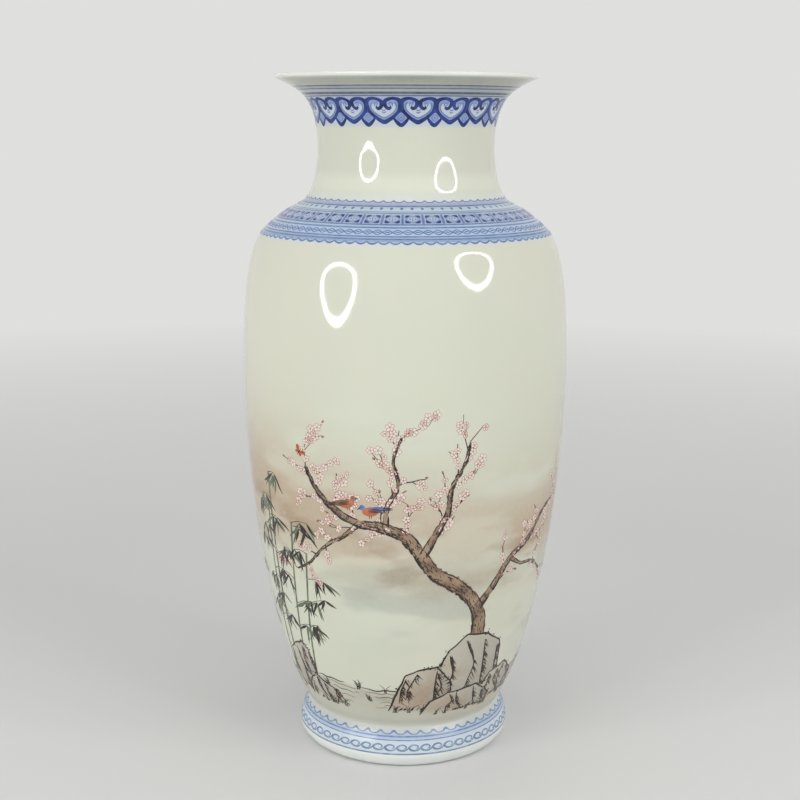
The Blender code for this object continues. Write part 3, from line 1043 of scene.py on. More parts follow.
# Drifting bands of mist: colour, strength, level, how far and how often the level sways round the
# vase and from where, how tall the band is, and the cells, seed and range of the noise that breaks it
for colour, strength, level, sway, waves, phase, reach, cells, seed, low, high in (
    ((214, 204, 182), 0.75, 178, 14, 2, 0.6, 46, 7, 3, 0.38, 0.58),
    ((188, 158, 128), 0.62, 168, 18, 2, 0.6, 30, 9, 9, 0.46, 0.64),
    ((158, 122, 94), 0.5, 156, 16, 2, 0.9, 18, 16, 15, 0.52, 0.7),
    ((170, 176, 164), 0.45, 118, 10, 3, 0.0, 26, 10, 21, 0.48, 0.68),
):
    lay_wash(colour, lambda angle, s: strength * (
        bell(s, level + sway * np.sin(angle * waves + phase), reach)
        * ramp(mottle(angle, s / 1000 * 2.6, cells, seed, 4), low, high)
    ))
lay_wash((192, 189, 174), lambda angle, s: (
    0.75 * ramp(ground_line(angle) - s, -1.5, 2.5) * ramp(s, 31.0, 37.0)
    * (0.45 + 0.55 * mottle(angle, s / 1000, 14, 27))
))
lay_wash((150, 138, 118), lambda angle, s: (
    0.6 * bell(s, ground_line(angle) - 4, 5.5) * (s < ground_line(angle) + 1)
    * ramp(mottle(angle, s / 1000 * 2.2, 18, 33), 0.35, 0.62)
))
lay_wash((208, 176, 150), lambda angle, s: (
    0.4 * bell(s, 43, 6) * ramp(mottle(angle, s / 1000 * 2.0, 9, 39), 0.48, 0.66)
))


# Rocks. Angular outlines and folds are drawn in ink, and the shaded sides are built up with many dry
# side strokes. A grey wash fills them and fades towards the ground, and moss dots finish the tops.

# Each group's meridian, and its rocks from the back to the front: middle, base, width, height, the
# seed of its outline, and how far it leans
ROCKS = (
    (-62, (
        (2, 46, 54, 58, 5, 0.06), (-24, 44, 36, 34, 6, -0.08), (30, 45, 32, 28, 7, 0.05),
        (2, 41, 44, 19, 8, 0.0),
    )),
    (-146, ((0, 48, 32, 36, 12, 0.12), (16, 44, 28, 19, 13, 0.0))),
    (84, ((0, 46, 46, 42, 21, -0.10), (24, 44, 28, 24, 22, 0.05), (-22, 43, 24, 16, 23, 0.0))),
    (10, ((0, 46, 26, 20, 31, 0.1), (14, 43, 18, 11, 32, 0.0))),
    (152, ((0, 46, 32, 26, 41, 0.05), (-14, 43, 20, 13, 42, 0.0))),
)
ROCK_CORNERS = 8
SCENE_GIRTH = 100.0


class Enamel(Motif):
    """The strokes of one thin overglaze enamel in the scene. They are drawn in millimetres about a
    meridian, and settled on the vase's own girth when that group is done."""

    every = []

    def __init__(self, name, thick, thin, height, patch=120.0):
        super().__init__()
        self.name, self.height, self.settled = name, height, 0
        finish = brushed(name + "_enamel", thick, thin, patch, 3.0, 0.16, 1500.0, (0.35, 0.75), 0.3)
        finish.set("Roughness", finish.noise(240.0) * 0.12 + 0.10)
        self.paint = finish.made
        Enamel.every.append(self)

    def draw(self, points, columns=1, gap=1.0, closed=False):
        self.stroke(points, self.height, columns, gap, closed=closed)

    def spot(self, x, y, size):
        turns = (0.3, 1.5, 2.8, 4.0, 5.2)
        self.blob([(x + size / 2 * cos(a), y + size / 2 * sin(a)) for a in turns], self.height)

    def settle(self, meridian):
        fresh = np.array(self.points[self.settled:])
        if len(fresh):
            local = np.interp(fresh[:, 1] / 1000, outline.along, outline.points[:, 0]) * 1000
            fresh[:, 0] = SCENE_GIRTH * (fresh[:, 0] / local + radians(meridian))
            self.points[self.settled:] = fresh.tolist()
        self.settled = len(self.points)


def settle(meridian):
    for colour in Enamel.every:
        colour.settle(meridian)


ink = Enamel("scene_ink", (34, 29, 30), (66, 56, 52), 0.060)
brown = Enamel("scene_brown", (112, 78, 56), (152, 116, 88), 0.055)
leaf = Enamel("scene_leaf", (84, 98, 78), (128, 140, 112), 0.050, 70.0)


def tapered(points, width, ends=0.25):
    """Gives a path of (x, y) a brush stroke's width, thin at both ends."""
    share = np.linspace(0, 1, len(points))
    widths = width * (ends + (1 - ends) * np.sin(pi * share) ** 0.6)
    return [(x, y, w) for (x, y), w in zip(points, widths)]


def inside(x, y, edge):
    """Whether points lie inside a closed edge."""
    held = np.zeros(np.shape(x), bool)
    for (ax, ay), (bx, by) in zip(edge, np.roll(edge, -1, 0)):
        held ^= ((ay > y) != (by > y)) & (x < (bx - ax) * (y - ay) / (by - ay + 1e-12) + ax)
    return held


def local_x(angle, s, meridian):
    """Millimetres round the vase from a meridian, at this distance up the outline."""
    turn = (angle - radians(meridian) + pi) % (2 * pi) - pi
    return turn * np.interp(s / 1000, outline.along, outline.points[:, 0]) * 1000


def rock_corners(x, base, width, height, seed, lean):
    """A rock's rough outline, from its right foot over the top to its left foot."""
    chance = np.random.default_rng(seed)
    around = np.linspace(0, pi, ROCK_CORNERS)
    around[1:-1] += chance.normal(0, 0.10, ROCK_CORNERS - 2)
    rough = 1 + chance.normal(0, 0.09, ROCK_CORNERS)
    corners = np.stack([
        x + width / 2 * np.cos(around) * rough + lean * np.sin(around) * height,
        base + height * np.sin(around) ** 0.7 * (1 + chance.normal(0, 0.07, ROCK_CORNERS)),
    ], 1)
    corners[[0, -1], 1] = base
    return corners


rock_shapes = [(meridian, rock_corners(*sizes), sizes) for meridian, group in ROCKS for sizes in group]


def hidden(x, y, meridian, shapes=rock_shapes):
    """Whether points drawn about a meridian fall behind these rocks."""
    angle = x / (1000 * np.interp(y / 1000, outline.along, outline.points[:, 0])) + radians(meridian)
    held = np.zeros(np.shape(x), bool)
    for centre, corners, sizes in shapes:
        held |= inside(local_x(angle, y, centre), y, corners)
    return held


def draw_behind(colour, points, gap, meridian, shapes=rock_shapes):
    """Draws the parts of a stroke that no nearer rock hides."""
    rows = smoothed(points, gap)
    run = []
    for row, covered in (*zip(rows, hidden(rows[:, 0], rows[:, 1], meridian, shapes)), (None, True)):
        if not covered:
            run.append(tuple(row))
            continue
        if len(run) > 1:
            colour.draw(run, gap=gap * 1.6)
        run = []


def draw_rock(place):
    """A rock in ink, with side strokes in its folds, moss on top and blades of grass at its foot."""
    meridian, corners, (x, base, width, height, seed, lean) = rock_shapes[place]
    nearer = [shape for shape in rock_shapes[place + 1:] if shape[0] == meridian]
    chance = np.random.default_rng(seed + 100)

    def brush(colour, points):
        draw_behind(colour, points, 1.4, meridian, nearer)

    edge = []
    for a, b in zip(corners, corners[1:]):
        edge += [a + (b - a) * share + chance.normal(0, 0.18, 2) for share in (0.05, 0.35, 0.65, 0.95)]
    for first, last, heavy in ((0, 10, 1.0), (8, 17, 1.3), (15, 22, 1.0), (20, 27, 1.5)):
        brush(ink, tapered(edge[first:last + 1], heavy, 0.45))

    def hatch(line, count, reach, heading, wide):
        """Side strokes that leave a line, denser towards its foot."""
        line = np.array(line)
        for share in chance.uniform(0, 1, int(count)) ** 0.75:
            px, py = (np.interp(share * (len(line) - 1), np.arange(len(line)), part) for part in line.T)
            turn = radians(heading) + chance.normal(0, 0.14)
            long = reach * chance.uniform(0.45, 1.2)
            px += chance.uniform(0, 1.2)
            dx, dy = cos(turn) * long, sin(turn) * long
            first = (px, py, wide * chance.uniform(0.5, 1.1))
            stroke = [first, (px + dx * 0.5, py + dy * 0.5, wide * 0.6), (px + dx, py + dy, 0.12)]
            if inside(px + dx, py + dy, corners):
                brush(ink if chance.random() < 0.72 else brown, stroke)

    for corner in corners[2:6]:
        top = corner * 0.92 + np.array((x, base)) * 0.08
        foot_x = x + (corner[0] - x) + chance.normal(0, 0.05) * width
        foot = np.array((foot_x, base + height * chance.uniform(0.08, 0.35)))
        bow = np.array((chance.normal(0, 0.05) * width, chance.normal(0, 0.04) * height))
        kink = (top + foot) / 2 + bow
        line = [top, (top * 2 + kink) / 3, kink, (kink + foot) / 2, foot]
        line = [point for point in line if inside(*point, corners)]
        if len(line) > 2:
            brush(ink, tapered(line, chance.uniform(0.8, 1.2), 0.4))
            hatch(line, height * 0.75, 3.2 + height * 0.045, -58, 0.85)
    hatch(edge[7::-1], height * 0.9, 4.5, 215, 0.9)
    shares = np.linspace(-0.42, 0.42, 7)
    foot_line = [(x + width * share, base + 0.8 + chance.uniform(0, 1.5)) for share in shares]
    hatch(foot_line, width * 0.9, 1.4 + 0.05 * height, 70, 0.9)
    for cluster in range(max(4, round(width / 5))):
        at = edge[int(chance.integers(5, 24))]
        for dot in range(int(chance.integers(2, 6))):
            spot = at + (chance.normal(0, 1.5), chance.normal(0.2, 0.6))
            if not hidden(*spot, meridian, nearer):
                (ink if dot % 3 else leaf).spot(*spot, chance.uniform(0.7, 1.5))
    for tuft in range(max(2, round(width / 8))):
        root = x + chance.uniform(-0.52, 0.52) * width
        for blade in range(6):
            tall, bend = chance.uniform(3.0, 8.0), chance.uniform(-0.8, 0.8)
            foot = root + blade * 0.4
            middle = (foot + bend * tall * 0.35, base + tall * 0.55, 0.4)
            tip = (foot + bend * tall, base + tall * 0.85, 0.12)
            brush(leaf if blade % 2 else ink, [(foot, base - 0.4, 0.35), middle, tip])


for place, (meridian, corners, sizes) in enumerate(rock_shapes):
    draw_rock(place)
    settle(meridian)


def stone_cover(angle, s, low, high):
    """A wash on the rocks that deepens to the right and towards the foot, and thins at the ground."""
    cover = np.zeros(np.shape(angle))
    for centre, corners, (middle, base, width, height, seed, lean) in rock_shapes:
        x = local_x(angle, s, centre)
        depth = 0.6 * (x - middle) / width + 0.3 + 0.4 * (1 - (s - base) / height)
        shade = np.clip(low + (high - low) * depth, 0, 1) * ramp(s - base, -1.0, 6.0)
        cover = np.where(inside(x, s, corners), shade, cover)
    return cover


lay_wash((204, 198, 182), lambda angle, s: stone_cover(angle, s, 0.8, 0.85))
lay_wash((134, 128, 120), lambda angle, s: (
    stone_cover(angle, s, -0.15, 0.8) * (0.4 + 0.7 * mottle(angle, s / 1000, 30, 51))
))
lay_wash((176, 134, 100), lambda angle, s: (
    stone_cover(angle, s, 0.15, 0.7) * ramp(mottle(angle, s / 1000, 22, 57), 0.48, 0.68)
))


# Banks. Dry brush lines in ink and brown enamel follow the edge of the ground right round the vase,
# with tufts of grass and small stones on it. They stop where a rock stands in front.

BANK_RADIUS = 78
BANK_STEP = 20
# How far below the ground's edge each line lies, its width and its length
BANK_LINES = ((0.0, 0.9, 26), (-2.4, 0.5, 18), (-5.5, 0.45, 14), (-9.5, 0.4, 12), (-14.0, 0.35, 10))

hand = np.random.default_rng(41)

for meridian in range(-180, 180, BANK_STEP):
    for number, (drop, width, length) in enumerate(BANK_LINES):
        start = -15 + hand.uniform(-4, 4) + number * 3
        xs = start + np.linspace(0, length * hand.uniform(0.7, 1.25), 7)
        level = ground_line(radians(meridian) + xs / BANK_RADIUS) + drop
        ys = level + 0.5 * np.sin(xs * 0.7) + hand.normal(0, 0.25, 7)
        draw_behind(ink if number in (0, 2) else brown, tapered(list(zip(xs, ys)), width), 1.5, meridian)
    for tuft in range(3):
        x = hand.uniform(-16, 16)
        base = float(ground_line(radians(meridian) + x / BANK_RADIUS)) - hand.uniform(0.0, 10.0)
        for blade in range(int(hand.integers(4, 8))):
            lean, tall = hand.uniform(-0.75, 0.75), hand.uniform(2.5, 6.5)
            root = x + blade * 0.35
            middle = (root + lean * tall * 0.4, base + tall * 0.65, 0.38)
            tip = (root + lean * tall, base + tall, 0.12)
            draw_behind(leaf if blade % 2 else ink, [(root, base, 0.4), middle, tip], 1.2, meridian)
    for pebble in range(2):
        x, y = hand.uniform(-16, 16), float(ground_line(radians(meridian))) - hand.uniform(5, 16)
        stone = [(x - 1.6, y), (x - 0.8, y + 0.9), (x + 0.6, y + 1.0), (x + 1.7, y)]
        draw_behind(brown, tapered(stone, 0.5), 0.8, meridian)
    settle(meridian)


# Old flowering tree. The trunk is one broad brown stroke with broken ink edges and bark marks.
# Young shoots stand stiffly from its limbs and carry five-petalled flowers and buds.

BARK_STEP = 1.6

# Twigs lie under the petals, and buds stand near the tips of the shoots
TWIG_HEIGHT = 0.032
BUD_SHARE = 0.62

bark = Enamel("scene_bark", (118, 92, 72), (176, 152, 126), 0.035, 90.0)
petal = Enamel("scene_petal", (236, 222, 214), (240, 234, 224), 0.048)
rose = Enamel("scene_rose", (176, 92, 76), (206, 142, 124), 0.056)
orange = Enamel("scene_orange", (186, 88, 48), (206, 124, 80), 0.052)
flower_spots = []


def wavering(points, amount):
    """The same path with a slightly unsteady hand and pressure."""
    rows = np.array(points, float)
    rows[:, :2] += hand.normal(0, amount, (len(rows), 2))
    rows[:, 2] *= np.clip(1 + hand.normal(0, 0.18, len(rows)), 0.5, 1.6)
    return rows.tolist()


def limb(path, meridian):
    """A limb in bark brown with ink edges, heavier on its underside, and with marks and knots."""
    rows = smoothed(path, BARK_STEP)
    rows = rows[~hidden(rows[:, 0], rows[:, 1] + 1.0, meridian)]
    body = rows.copy()
    body[:, 2] *= 1 + hand.normal(0, 0.12, len(rows))
    widest_part = float(rows[:, 2].max())
    bark.draw(body.tolist(), max(1, round(widest_part / 1.8)), BARK_STEP)
    lean, across = headings(rows)
    side_x, side_y = across[len(rows) // 2]
    under = -1 if side_y > 0 or (abs(side_y) < 0.2 and side_x < 0) else 1
    for side in (-1, 1):
        heavy = (1.25 if side == under else 0.7) * min(1.2, 0.35 + 0.13 * widest_part)
        start = 0
        while start < len(rows) - 2:
            end = min(len(rows), start + int(hand.integers(4, 11)))
            part = rows[start:end]
            edge = part[:, :2] + across[start:end] * side * part[:, 2:] * hand.uniform(0.42, 0.52)
            if len(edge) > 2:
                ink.draw(wavering(tapered(edge.tolist(), heavy, 0.3), 0.12), gap=1.6)
            start = end - (1 if hand.random() < 0.55 else -1)
    for mark in range(int(len(rows) * widest_part * 0.55)):
        i = int(hand.integers(1, len(rows) - 1))
        if hand.random() < 0.25:
            share = under * hand.gamma(1.5, 0.16) - under * 0.5
        else:
            share = under * (0.48 - hand.gamma(1.5, 0.13))
        x, y = rows[i, :2] + across[i] * (np.clip(share, -0.44, 0.44) * rows[i, 2])
        turn = hand.normal(0, 0.35)
        dx, dy = (lean[i] * cos(turn) + across[i] * sin(turn)) * hand.uniform(0.6, 1.8)
        bow_x, bow_y = across[i] * hand.normal(0, 0.3)
        middle = (x + bow_x, y + bow_y, hand.uniform(0.35, 0.85))
        (ink if mark % 3 else brown).draw([(x - dx, y - dy, 0.15), middle, (x + dx, y + dy, 0.15)], gap=1.2)
    for knot in range(int(widest_part / 3)):
        i = int(hand.integers(2, len(rows) - 2))
        x, y = rows[i, :2] + across[i] * under * -0.12 * rows[i, 2]
        size = rows[i, 2] * 0.17
        turns = (0, 1.05, 2.1, 3.14, 4.2, 5.2)
        ink.draw([(x + size * cos(a), y + size * 1.4 * sin(a), 0.45) for a in turns], closed=True)
        ink.spot(x, y, size * 0.9)


def shoot(x, y, heading, length, width, depth=1):
    """A stiff young shoot that bends at every step, with places for flowers and a few side shoots."""
    steps = max(2, round(length / 4.5))
    points = [(x, y, width)]
    for step in range(steps):
        heading += hand.normal(0, 0.15)
        x, y = x + length / steps * cos(heading), y + length / steps * sin(heading)
        width = max(0.32, width * 0.84)
        points.append((x, y, width))
        if hand.random() < 0.85:
            flower_spots.append((x + hand.normal(0, 0.8), y + hand.normal(0, 0.8), heading, step / steps))
        if depth and step and hand.random() < 0.55:
            turn = hand.choice((-1, 1)) * hand.uniform(0.5, 0.95)
            shoot(x, y, heading + turn, length * hand.uniform(0.35, 0.6), width * 0.85, depth - 1)
    ink.stroke(points, TWIG_HEIGHT, gap=1.8)


def placed(x, y, u, v, turn):
    """The point (u, v) of a small motif that is turned and set down at (x, y)."""
    return x + u * cos(turn) - v * sin(turn), y + u * sin(turn) + v * cos(turn)


def flower(x, y, size, turn, squash):
    """An open flower seen from above or from the side."""
    rim = []
    for a in (2 * pi * step / 20 for step in range(20)):
        r = size / 2 * (0.70 + 0.30 * abs(cos(2.5 * a)))
        rim.append(placed(x, y, r * cos(a), r * sin(a) * squash, turn))
    petal.blob(rim, petal.height)
    rose.draw([(px, py, 0.26) for px, py in rim], gap=2.0, closed=True)
    for a in (2 * pi * (step + 0.5) / 5 for step in range(5)):
        du, dv = placed(0.0, 0.0, cos(a), sin(a) * squash, turn)
        foot = (x + du * 0.2, y + dv * 0.2, 0.22)
        brown.draw([foot, (x + du * size * 0.27, y + dv * size * 0.27, 0.2)], gap=2.0)
        orange.spot(x + du * size * 0.3, y + dv * size * 0.3, 0.42)
    leaf.spot(x, y, 0.7)


def bud(x, y, heading, size):
    """A closed bud on its dark calyx."""
    dx, dy = cos(heading), sin(heading)
    tip = (x + dx * size, y + dy * size)
    middle = (x + (tip[0] - x) * 0.5, y + (tip[1] - y) * 0.5)
    rose.draw([(x, y, size * 0.5), (*middle, size * 0.95), (*tip, size * 0.35)], gap=0.9)
    calyx = [(x - dx * 0.4, y - dy * 0.4, 0.3), (x, y, size * 0.6), (x + dx * 0.4, y + dy * 0.4, 0.25)]
    ink.draw(calyx, gap=0.6)


def clothe(path, spread, long):
    """Sets shoots on both sides of a limb, turned a little upwards."""
    rows = smoothed(path, spread)
    for i in range(2, len(rows)):
        dx, dy = rows[i, :2] - rows[i - 1, :2]
        heading = np.arctan2(dy, dx) + (1 if i % 2 else -1) * hand.uniform(0.5, 1.1)
        heading += 0.35 * np.sin(pi / 2 - heading)
        shoot(*rows[i, :2], heading, long * hand.uniform(0.6, 1.3), min(0.95, rows[i, 2] * 0.45 + 0.2))


def blossom(meridian):
    """Buds near the tips of the shoots and open flowers behind them. This ends the tree."""
    for x, y, heading, share in flower_spots:
        if share > BUD_SHARE and hand.random() < 0.6:
            bud(x, y, heading, hand.uniform(1.3, 1.9))
        else:
            flower(x, y, hand.uniform(4.2, 6.0), hand.uniform(0, 2 * pi), hand.uniform(0.55, 1.0))
    flower_spots.clear()
    settle(meridian)


# The limbs of the tree in front and of the one behind, as rows of (x, y, width)
TREE_MERIDIAN = -84
TREE = (
    (
        (34, 88, 10.5), (38, 104, 9.8), (35, 120, 9.4), (23, 134, 9.0), (9, 143, 8.2), (0, 155, 7.8),
        (-9, 167, 7.0), (-23, 173, 6.0), (-38, 175, 4.8), (-52, 182, 3.6), (-64, 193, 2.5), (-72, 206, 1.3),
    ),
    ((1, 155, 5.0), (8, 168, 4.0), (15, 181, 3.1), (17, 196, 2.3), (25, 211, 1.6), (28, 224, 0.9)),
    ((-21, 173, 3.6), (-20, 186, 2.8), (-14, 199, 2.1), (-17, 214, 1.5), (-12, 228, 0.8)),
    ((-36, 175, 3.2), (-46, 166, 2.5), (-58, 158, 1.9), (-70, 145, 1.2), (-80, 139, 0.7)),
    ((36, 118, 5.2), (48, 132, 4.2), (60, 147, 3.4), (76, 156, 2.6), (92, 171, 1.7), (106, 176, 0.9)),
    ((60, 147, 2.6), (70, 141, 2.0), (84, 139, 1.4), (96, 130, 0.8)),
)
BACK_TREE_MERIDIAN = 118
BACK_TREE = (
    (
        (-50, 74, 7.4), (-54, 92, 7.0), (-48, 110, 6.6), (-36, 124, 6.0), (-28, 140, 5.2), (-12, 152, 4.4),
        (4, 166, 3.4), (20, 172, 2.5), (34, 186, 1.5), (44, 192, 0.8),
    ),
    ((-12, 152, 3.0), (-8, 168, 2.4), (0, 186, 1.7), (2, 204, 1.0), (8, 218, 0.6)),
    ((-48, 110, 3.6), (-62, 126, 3.0), (-66, 146, 2.3), (-78, 162, 1.6), (-80, 180, 0.8)),
)

for path in TREE:
    limb(path, TREE_MERIDIAN)
for path, spread, long in zip((TREE[0][5:], *TREE[1:]), (10, 8, 8, 9, 10, 9), (19, 17, 16, 14, 17, 13)):
    clothe(path, spread, long)
blossom(TREE_MERIDIAN)
for path in BACK_TREE:
    limb(path, BACK_TREE_MERIDIAN)
    clothe(path, 9, 16)
blossom(BACK_TREE_MERIDIAN)


# Bamboo. Each jointed culm is drawn upwards in short strokes that stop at the joints, and the
# leaves are single pressed strokes that hang from thin twigs.

LEAFY_FROM = 0.35
LONGEST_JOINT = 19.0


def bamboo_leaf(x, y):
    heading = -pi / 2 + hand.uniform(-1.15, 1.15)
    long = hand.uniform(8, 14)
    dx, dy = cos(heading) * long, sin(heading) * long
    bend = hand.normal(0, 0.8)
    (leaf if hand.random() < 0.6 else ink).draw([
        (x, y, 0.25), (x + dx * 0.3 + bend * 0.5, y + dy * 0.3, hand.uniform(1.3, 1.9)),
        (x + dx * 0.65 + bend, y + dy * 0.65, 1.2), (x + dx, y + dy, 0.12),
    ], gap=2.2)


def culm(meridian, x, base, top, lean, width):
    y, span = base, hand.uniform(11, 14)
    while y < top:
        span = min(span * 1.05, LONGEST_JOINT)
        start, end = y, min(y + span, top)
        x_low, x_high = x + lean * (start - base), x + lean * (end - base)
        middle = ((x_low + x_high) / 2, (start + end) / 2, width * 0.86)
        draw_behind(leaf, [(x_low, start + 0.5, width), middle, (x_high, end - 0.5, width)], 1.2, meridian)
        y = end
        if hidden(x_high, end, meridian):
            continue
        left, right = x_high - width * 0.65, x_high + width * 0.65
        ink.draw([(left, end + 0.15, 0.2), (x_high, end - 0.1, 0.55), (right, end + 0.15, 0.2)])
        if end > base + LEAFY_FROM * (top - base):
            side = hand.choice((-1, 1))
            reach = hand.uniform(7, 15)
            tip_x, tip_y = x_high + side * reach, end + hand.uniform(-1, 6)
            middle = ((x_high + tip_x) / 2, (end + tip_y) / 2 + 1, 0.36)
            ink.draw([(x_high, end, 0.45), middle, (tip_x, tip_y, 0.25)], gap=3.0)
            for share in (0.55, 1.0):
                for blade in range(int(hand.integers(3, 6))):
                    bamboo_leaf(x_high + (tip_x - x_high) * share, end + (tip_y - end) * share)


# Each group's culms, by place round the vase, base, top, lean and width, and their meridian
for meridian, *culms in (
    (
        -144, (-16, 56, 176, 0.07, 1.7), (-8, 54, 196, 0.03, 2.0), (2, 55, 168, 0.12, 1.6),
        (10, 54, 150, 0.16, 1.5),
    ),
    (
        168, (-14, 52, 190, -0.06, 2.0), (-4, 50, 206, 0.02, 2.1), (8, 52, 176, 0.08, 1.7),
        (18, 50, 158, 0.14, 1.5),
    ),
    (44, (-6, 52, 160, -0.08, 1.7), (3, 50, 178, 0.03, 1.9), (12, 52, 150, 0.12, 1.5)),
):
    for sizes in culms:
        culm(meridian, *sizes)
    settle(meridian)


# Birds and butterflies. Small filled bodies in orange, blue and brown enamel, painted last, with
# their wings, tails and eyes lined in ink.

blue = Enamel("scene_blue", (70, 104, 168), (118, 150, 200), 0.052)


def bird(x, y, size, turn, facing, back):
    """A perched bird with an orange breast."""
    def at(u, v):
        across, up = placed(0.0, 0.0, u * facing, v, turn)
        return x + size * across, y + size * up

    def path(*rows):
        return [(*at(u, v), width * size) for u, v, width in rows]

    back.draw(path((-0.95, -0.10, 0.16), (-0.55, 0.0, 0.24), (-0.2, 0.04, 0.30)), gap=0.8)
    breast = path(
        (-0.42, -0.05, 0.16), (-0.2, -0.04, 0.40), (0.05, 0.0, 0.46), (0.28, 0.08, 0.30), (0.36, 0.12, 0.1),
    )
    orange.draw(breast, 3, 0.8)
    back.draw(path((0.2, 0.24, 0.14), (0.33, 0.27, 0.29), (0.46, 0.26, 0.12)), 2, 0.5)
    wing = path((0.12, 0.12, 0.12), (-0.12, 0.06, 0.26), (-0.42, -0.02, 0.16), (-0.62, -0.08, 0.04))
    back.draw(wing, 2, 0.8)
    for lift, length in ((0.10, 0.5), (0.03, 0.62), (-0.04, 0.56)):
        ink.draw(path((0.1, lift, 0.02), (-0.2, lift - 0.04, 0.045), (-length, lift - 0.12, 0.02)), gap=1.5)
    for sweep in (-0.05, 0.02):
        ink.draw(path((-0.6, sweep, 0.03), (-0.85, sweep - 0.06, 0.06), (-1.05, sweep - 0.11, 0.03)), gap=1.5)
    ink.draw(path((0.44, 0.27, 0.085), (0.52, 0.255, 0.05), (0.6, 0.235, 0.015)), gap=0.5)
    ink.spot(*at(0.36, 0.29), 0.06 * size)
    for foot in (0.0, 0.1):
        ink.draw(path((foot, -0.2, 0.03), (foot + 0.02, -0.34, 0.03)))


def butterfly(x, y, size, turn, wings):
    for side in (-1, 1):
        for spread, long, wide in ((0.95, 1.0, 0.62), (2.0, 0.62, 0.5)):
            heading = turn + side * spread
            tip = (x + size * long * cos(heading), y + size * long * sin(heading))
            middle = ((x + tip[0] * 2) / 3, (y + tip[1] * 2) / 3)
            wings.draw([(x, y, 0.2), (*middle, size * wide), (*tip, size * 0.2)], 2, 0.8)
            ink.draw([(x, y, 0.2), (*middle, 0.22), (*tip, 0.3)])
    dx, dy = cos(turn) * size * 0.5, sin(turn) * size * 0.5
    ink.draw([(x - dx, y - dy, 0.3), (x, y, 0.75), (x + dx, y + dy, 0.3)], gap=0.8)


bird(-30, 182.5, 12.5, 0.28, -1, blue)
bird(-44, 186.5, 12.0, 0.05, 1, brown)
settle(TREE_MERIDIAN)
bird(16, 178.5, 12.0, 0.35, 1, blue)
settle(BACK_TREE_MERIDIAN)
for meridian, level, size, turn, wings in (
    (-128, 214, 4.6, 0.9, orange), (30, 205, 4.2, 2.2, blue), (-175, 214, 4.4, 1.2, orange),
):
    butterfly(0, level, size, turn, wings)
    settle(meridian)

# Each colour of the whole scene is one thin coat on the glaze
for colour in (ink, brown, bark, leaf, petal, rose, orange, blue):
    paint_round(colour.name, colour, colour.paint, 0.0, SCENE_GIRTH, 1, hand=0.0, slot="enamel_painting")
bpy.data.objects.remove(outline_guide)


# Floor, lamps and camera. A pale studio floor that fades into the pale surroundings, two ring
# lamps on either side of the camera and an even, soft sky.

PALE = (0.74, 0.74, 0.73, 1.0)
FLOOR_PALE = (0.80, 0.80, 0.79, 1.0)
SKY_LOW = (0.24, 0.24, 0.24, 1.0)
SKY_HIGH = (0.74, 0.74, 0.74, 1.0)
FLOOR_RADIUS = 6.0
FLOOR_SIDES = 96
FADE_START = 0.5
FADE_END = 1.9
RING_LAMP_HOLLOW = 0.40
LAMP_AIM = Vector((0.0, 0.0, 0.25))

mesh = bpy.data.meshes.new("floor")
around = [2 * pi * step / FLOOR_SIDES for step in range(FLOOR_SIDES)]
rim = [(FLOOR_RADIUS * cos(a), FLOOR_RADIUS * sin(a), 0.0) for a in around]
mesh.from_pydata(rim, [], [range(FLOOR_SIDES)])
studio_floor = new_object("floor", mesh)


def seen_rays(tree):
    """1 for rays that see the surroundings, straight or mirrored, and 0 for light that falls on
    things."""
    kinds = ("Is Camera Ray", "Is Glossy Ray", "Is Transmission Ray")
    straight, mirrored, through = add(tree, "ShaderNodeLightPath", out=kinds)
    return straight.maths("MAXIMUM", mirrored).maths("MAXIMUM", through)


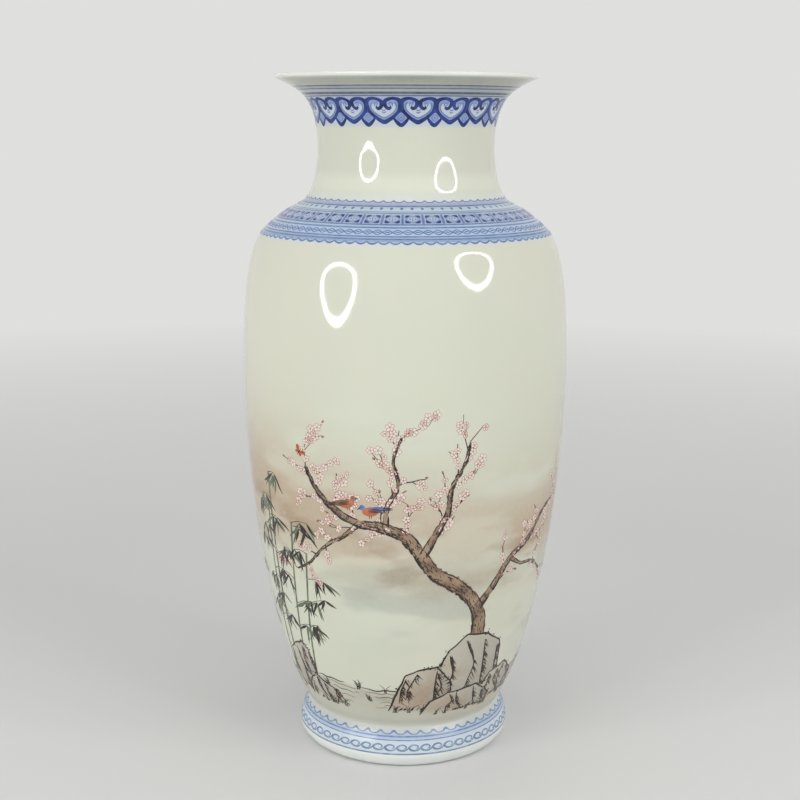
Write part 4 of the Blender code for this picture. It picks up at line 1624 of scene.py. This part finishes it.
finish = Finish("pale_floor", Roughness=0.6, Base_Color=FLOOR_PALE)
reach = add(finish.tree, "ShaderNodeVectorMath", {"operation": "LENGTH"}, {0: finish.place}, out="Value")
glow = add(finish.tree, "ShaderNodeEmission", values={"Color": PALE, "Strength": 1.0})
far = finish.between(FADE_START, FADE_END, reach) * seen_rays(finish.tree)
faded = add(finish.tree, "ShaderNodeMixShader", values={0: far, 1: Wire(finish.shader.outputs[0]), 2: glow})
join(finish.tree.nodes["Material Output"].inputs["Surface"], faded)
mesh.materials.append(finish.made)

world = bpy.data.worlds.new("even_sky")
bpy.context.scene.world = world
world.use_nodes = True
sky = world.node_tree
rise, = parts_of(sky, add(sky, "ShaderNodeTexCoord"), "Z")
dome = blend(sky, rise.maths("MAXIMUM", 0.0), SKY_LOW, SKY_HIGH)
join(sky.nodes["Background"].inputs["Color"], blend(sky, seen_rays(sky), dome, PALE))

for name, place, radius, power in (
    ("left_lamp", (-1.00, -0.93, 0.58), 0.33, 6.3),
    ("right_lamp", (0.82, -0.66, 0.74), 0.29, 3.95),
):
    lamp = bpy.data.lights.new(name, "AREA")
    lamp.shape = "DISK"
    lamp.size = 2 * radius
    lamp.energy = power
    lamp.use_nodes = True
    tree = lamp.node_tree
    across = add(tree, "ShaderNodeNewGeometry", out="Parametric")
    middle = {0: across, 1: (0.5, 0.5, 0.0)}
    spread = add(tree, "ShaderNodeVectorMath", {"operation": "DISTANCE"}, middle, out="Value")
    lit_share = 1 - (2 * RING_LAMP_HOLLOW) ** 2
    join(tree.nodes["Emission"].inputs["Strength"], (spread > RING_LAMP_HOLLOW) * (1 / lit_share))
    holder = new_object(name, lamp)
    holder.location = place
    holder.rotation_euler = (LAMP_AIM - Vector(place)).to_track_quat("-Z", "Y").to_euler()

CAMERA_DISTANCE = 0.8856
CAMERA_HEIGHT = 0.3956
CAMERA_PITCH = 0.19692
CAMERA_YAW = 0.0035
CAMERA_ROLL = 0.0039
SENSOR_WIDTH = 36.0
FOCAL_LENGTH = 64.167

lens = bpy.data.cameras.new("camera")
lens.sensor_width = SENSOR_WIDTH
lens.lens = FOCAL_LENGTH
camera = new_object("camera", lens)
camera.location = (0.0, -CAMERA_DISTANCE, CAMERA_HEIGHT)
tilt = Euler((pi / 2 - CAMERA_PITCH, 0.0, CAMERA_YAW)).to_matrix() @ Matrix.Rotation(CAMERA_ROLL, 3, "Z")
camera.rotation_euler = tilt.to_euler()
bpy.context.scene.camera = camera
bpy.context.scene.view_settings.view_transform = "Standard"
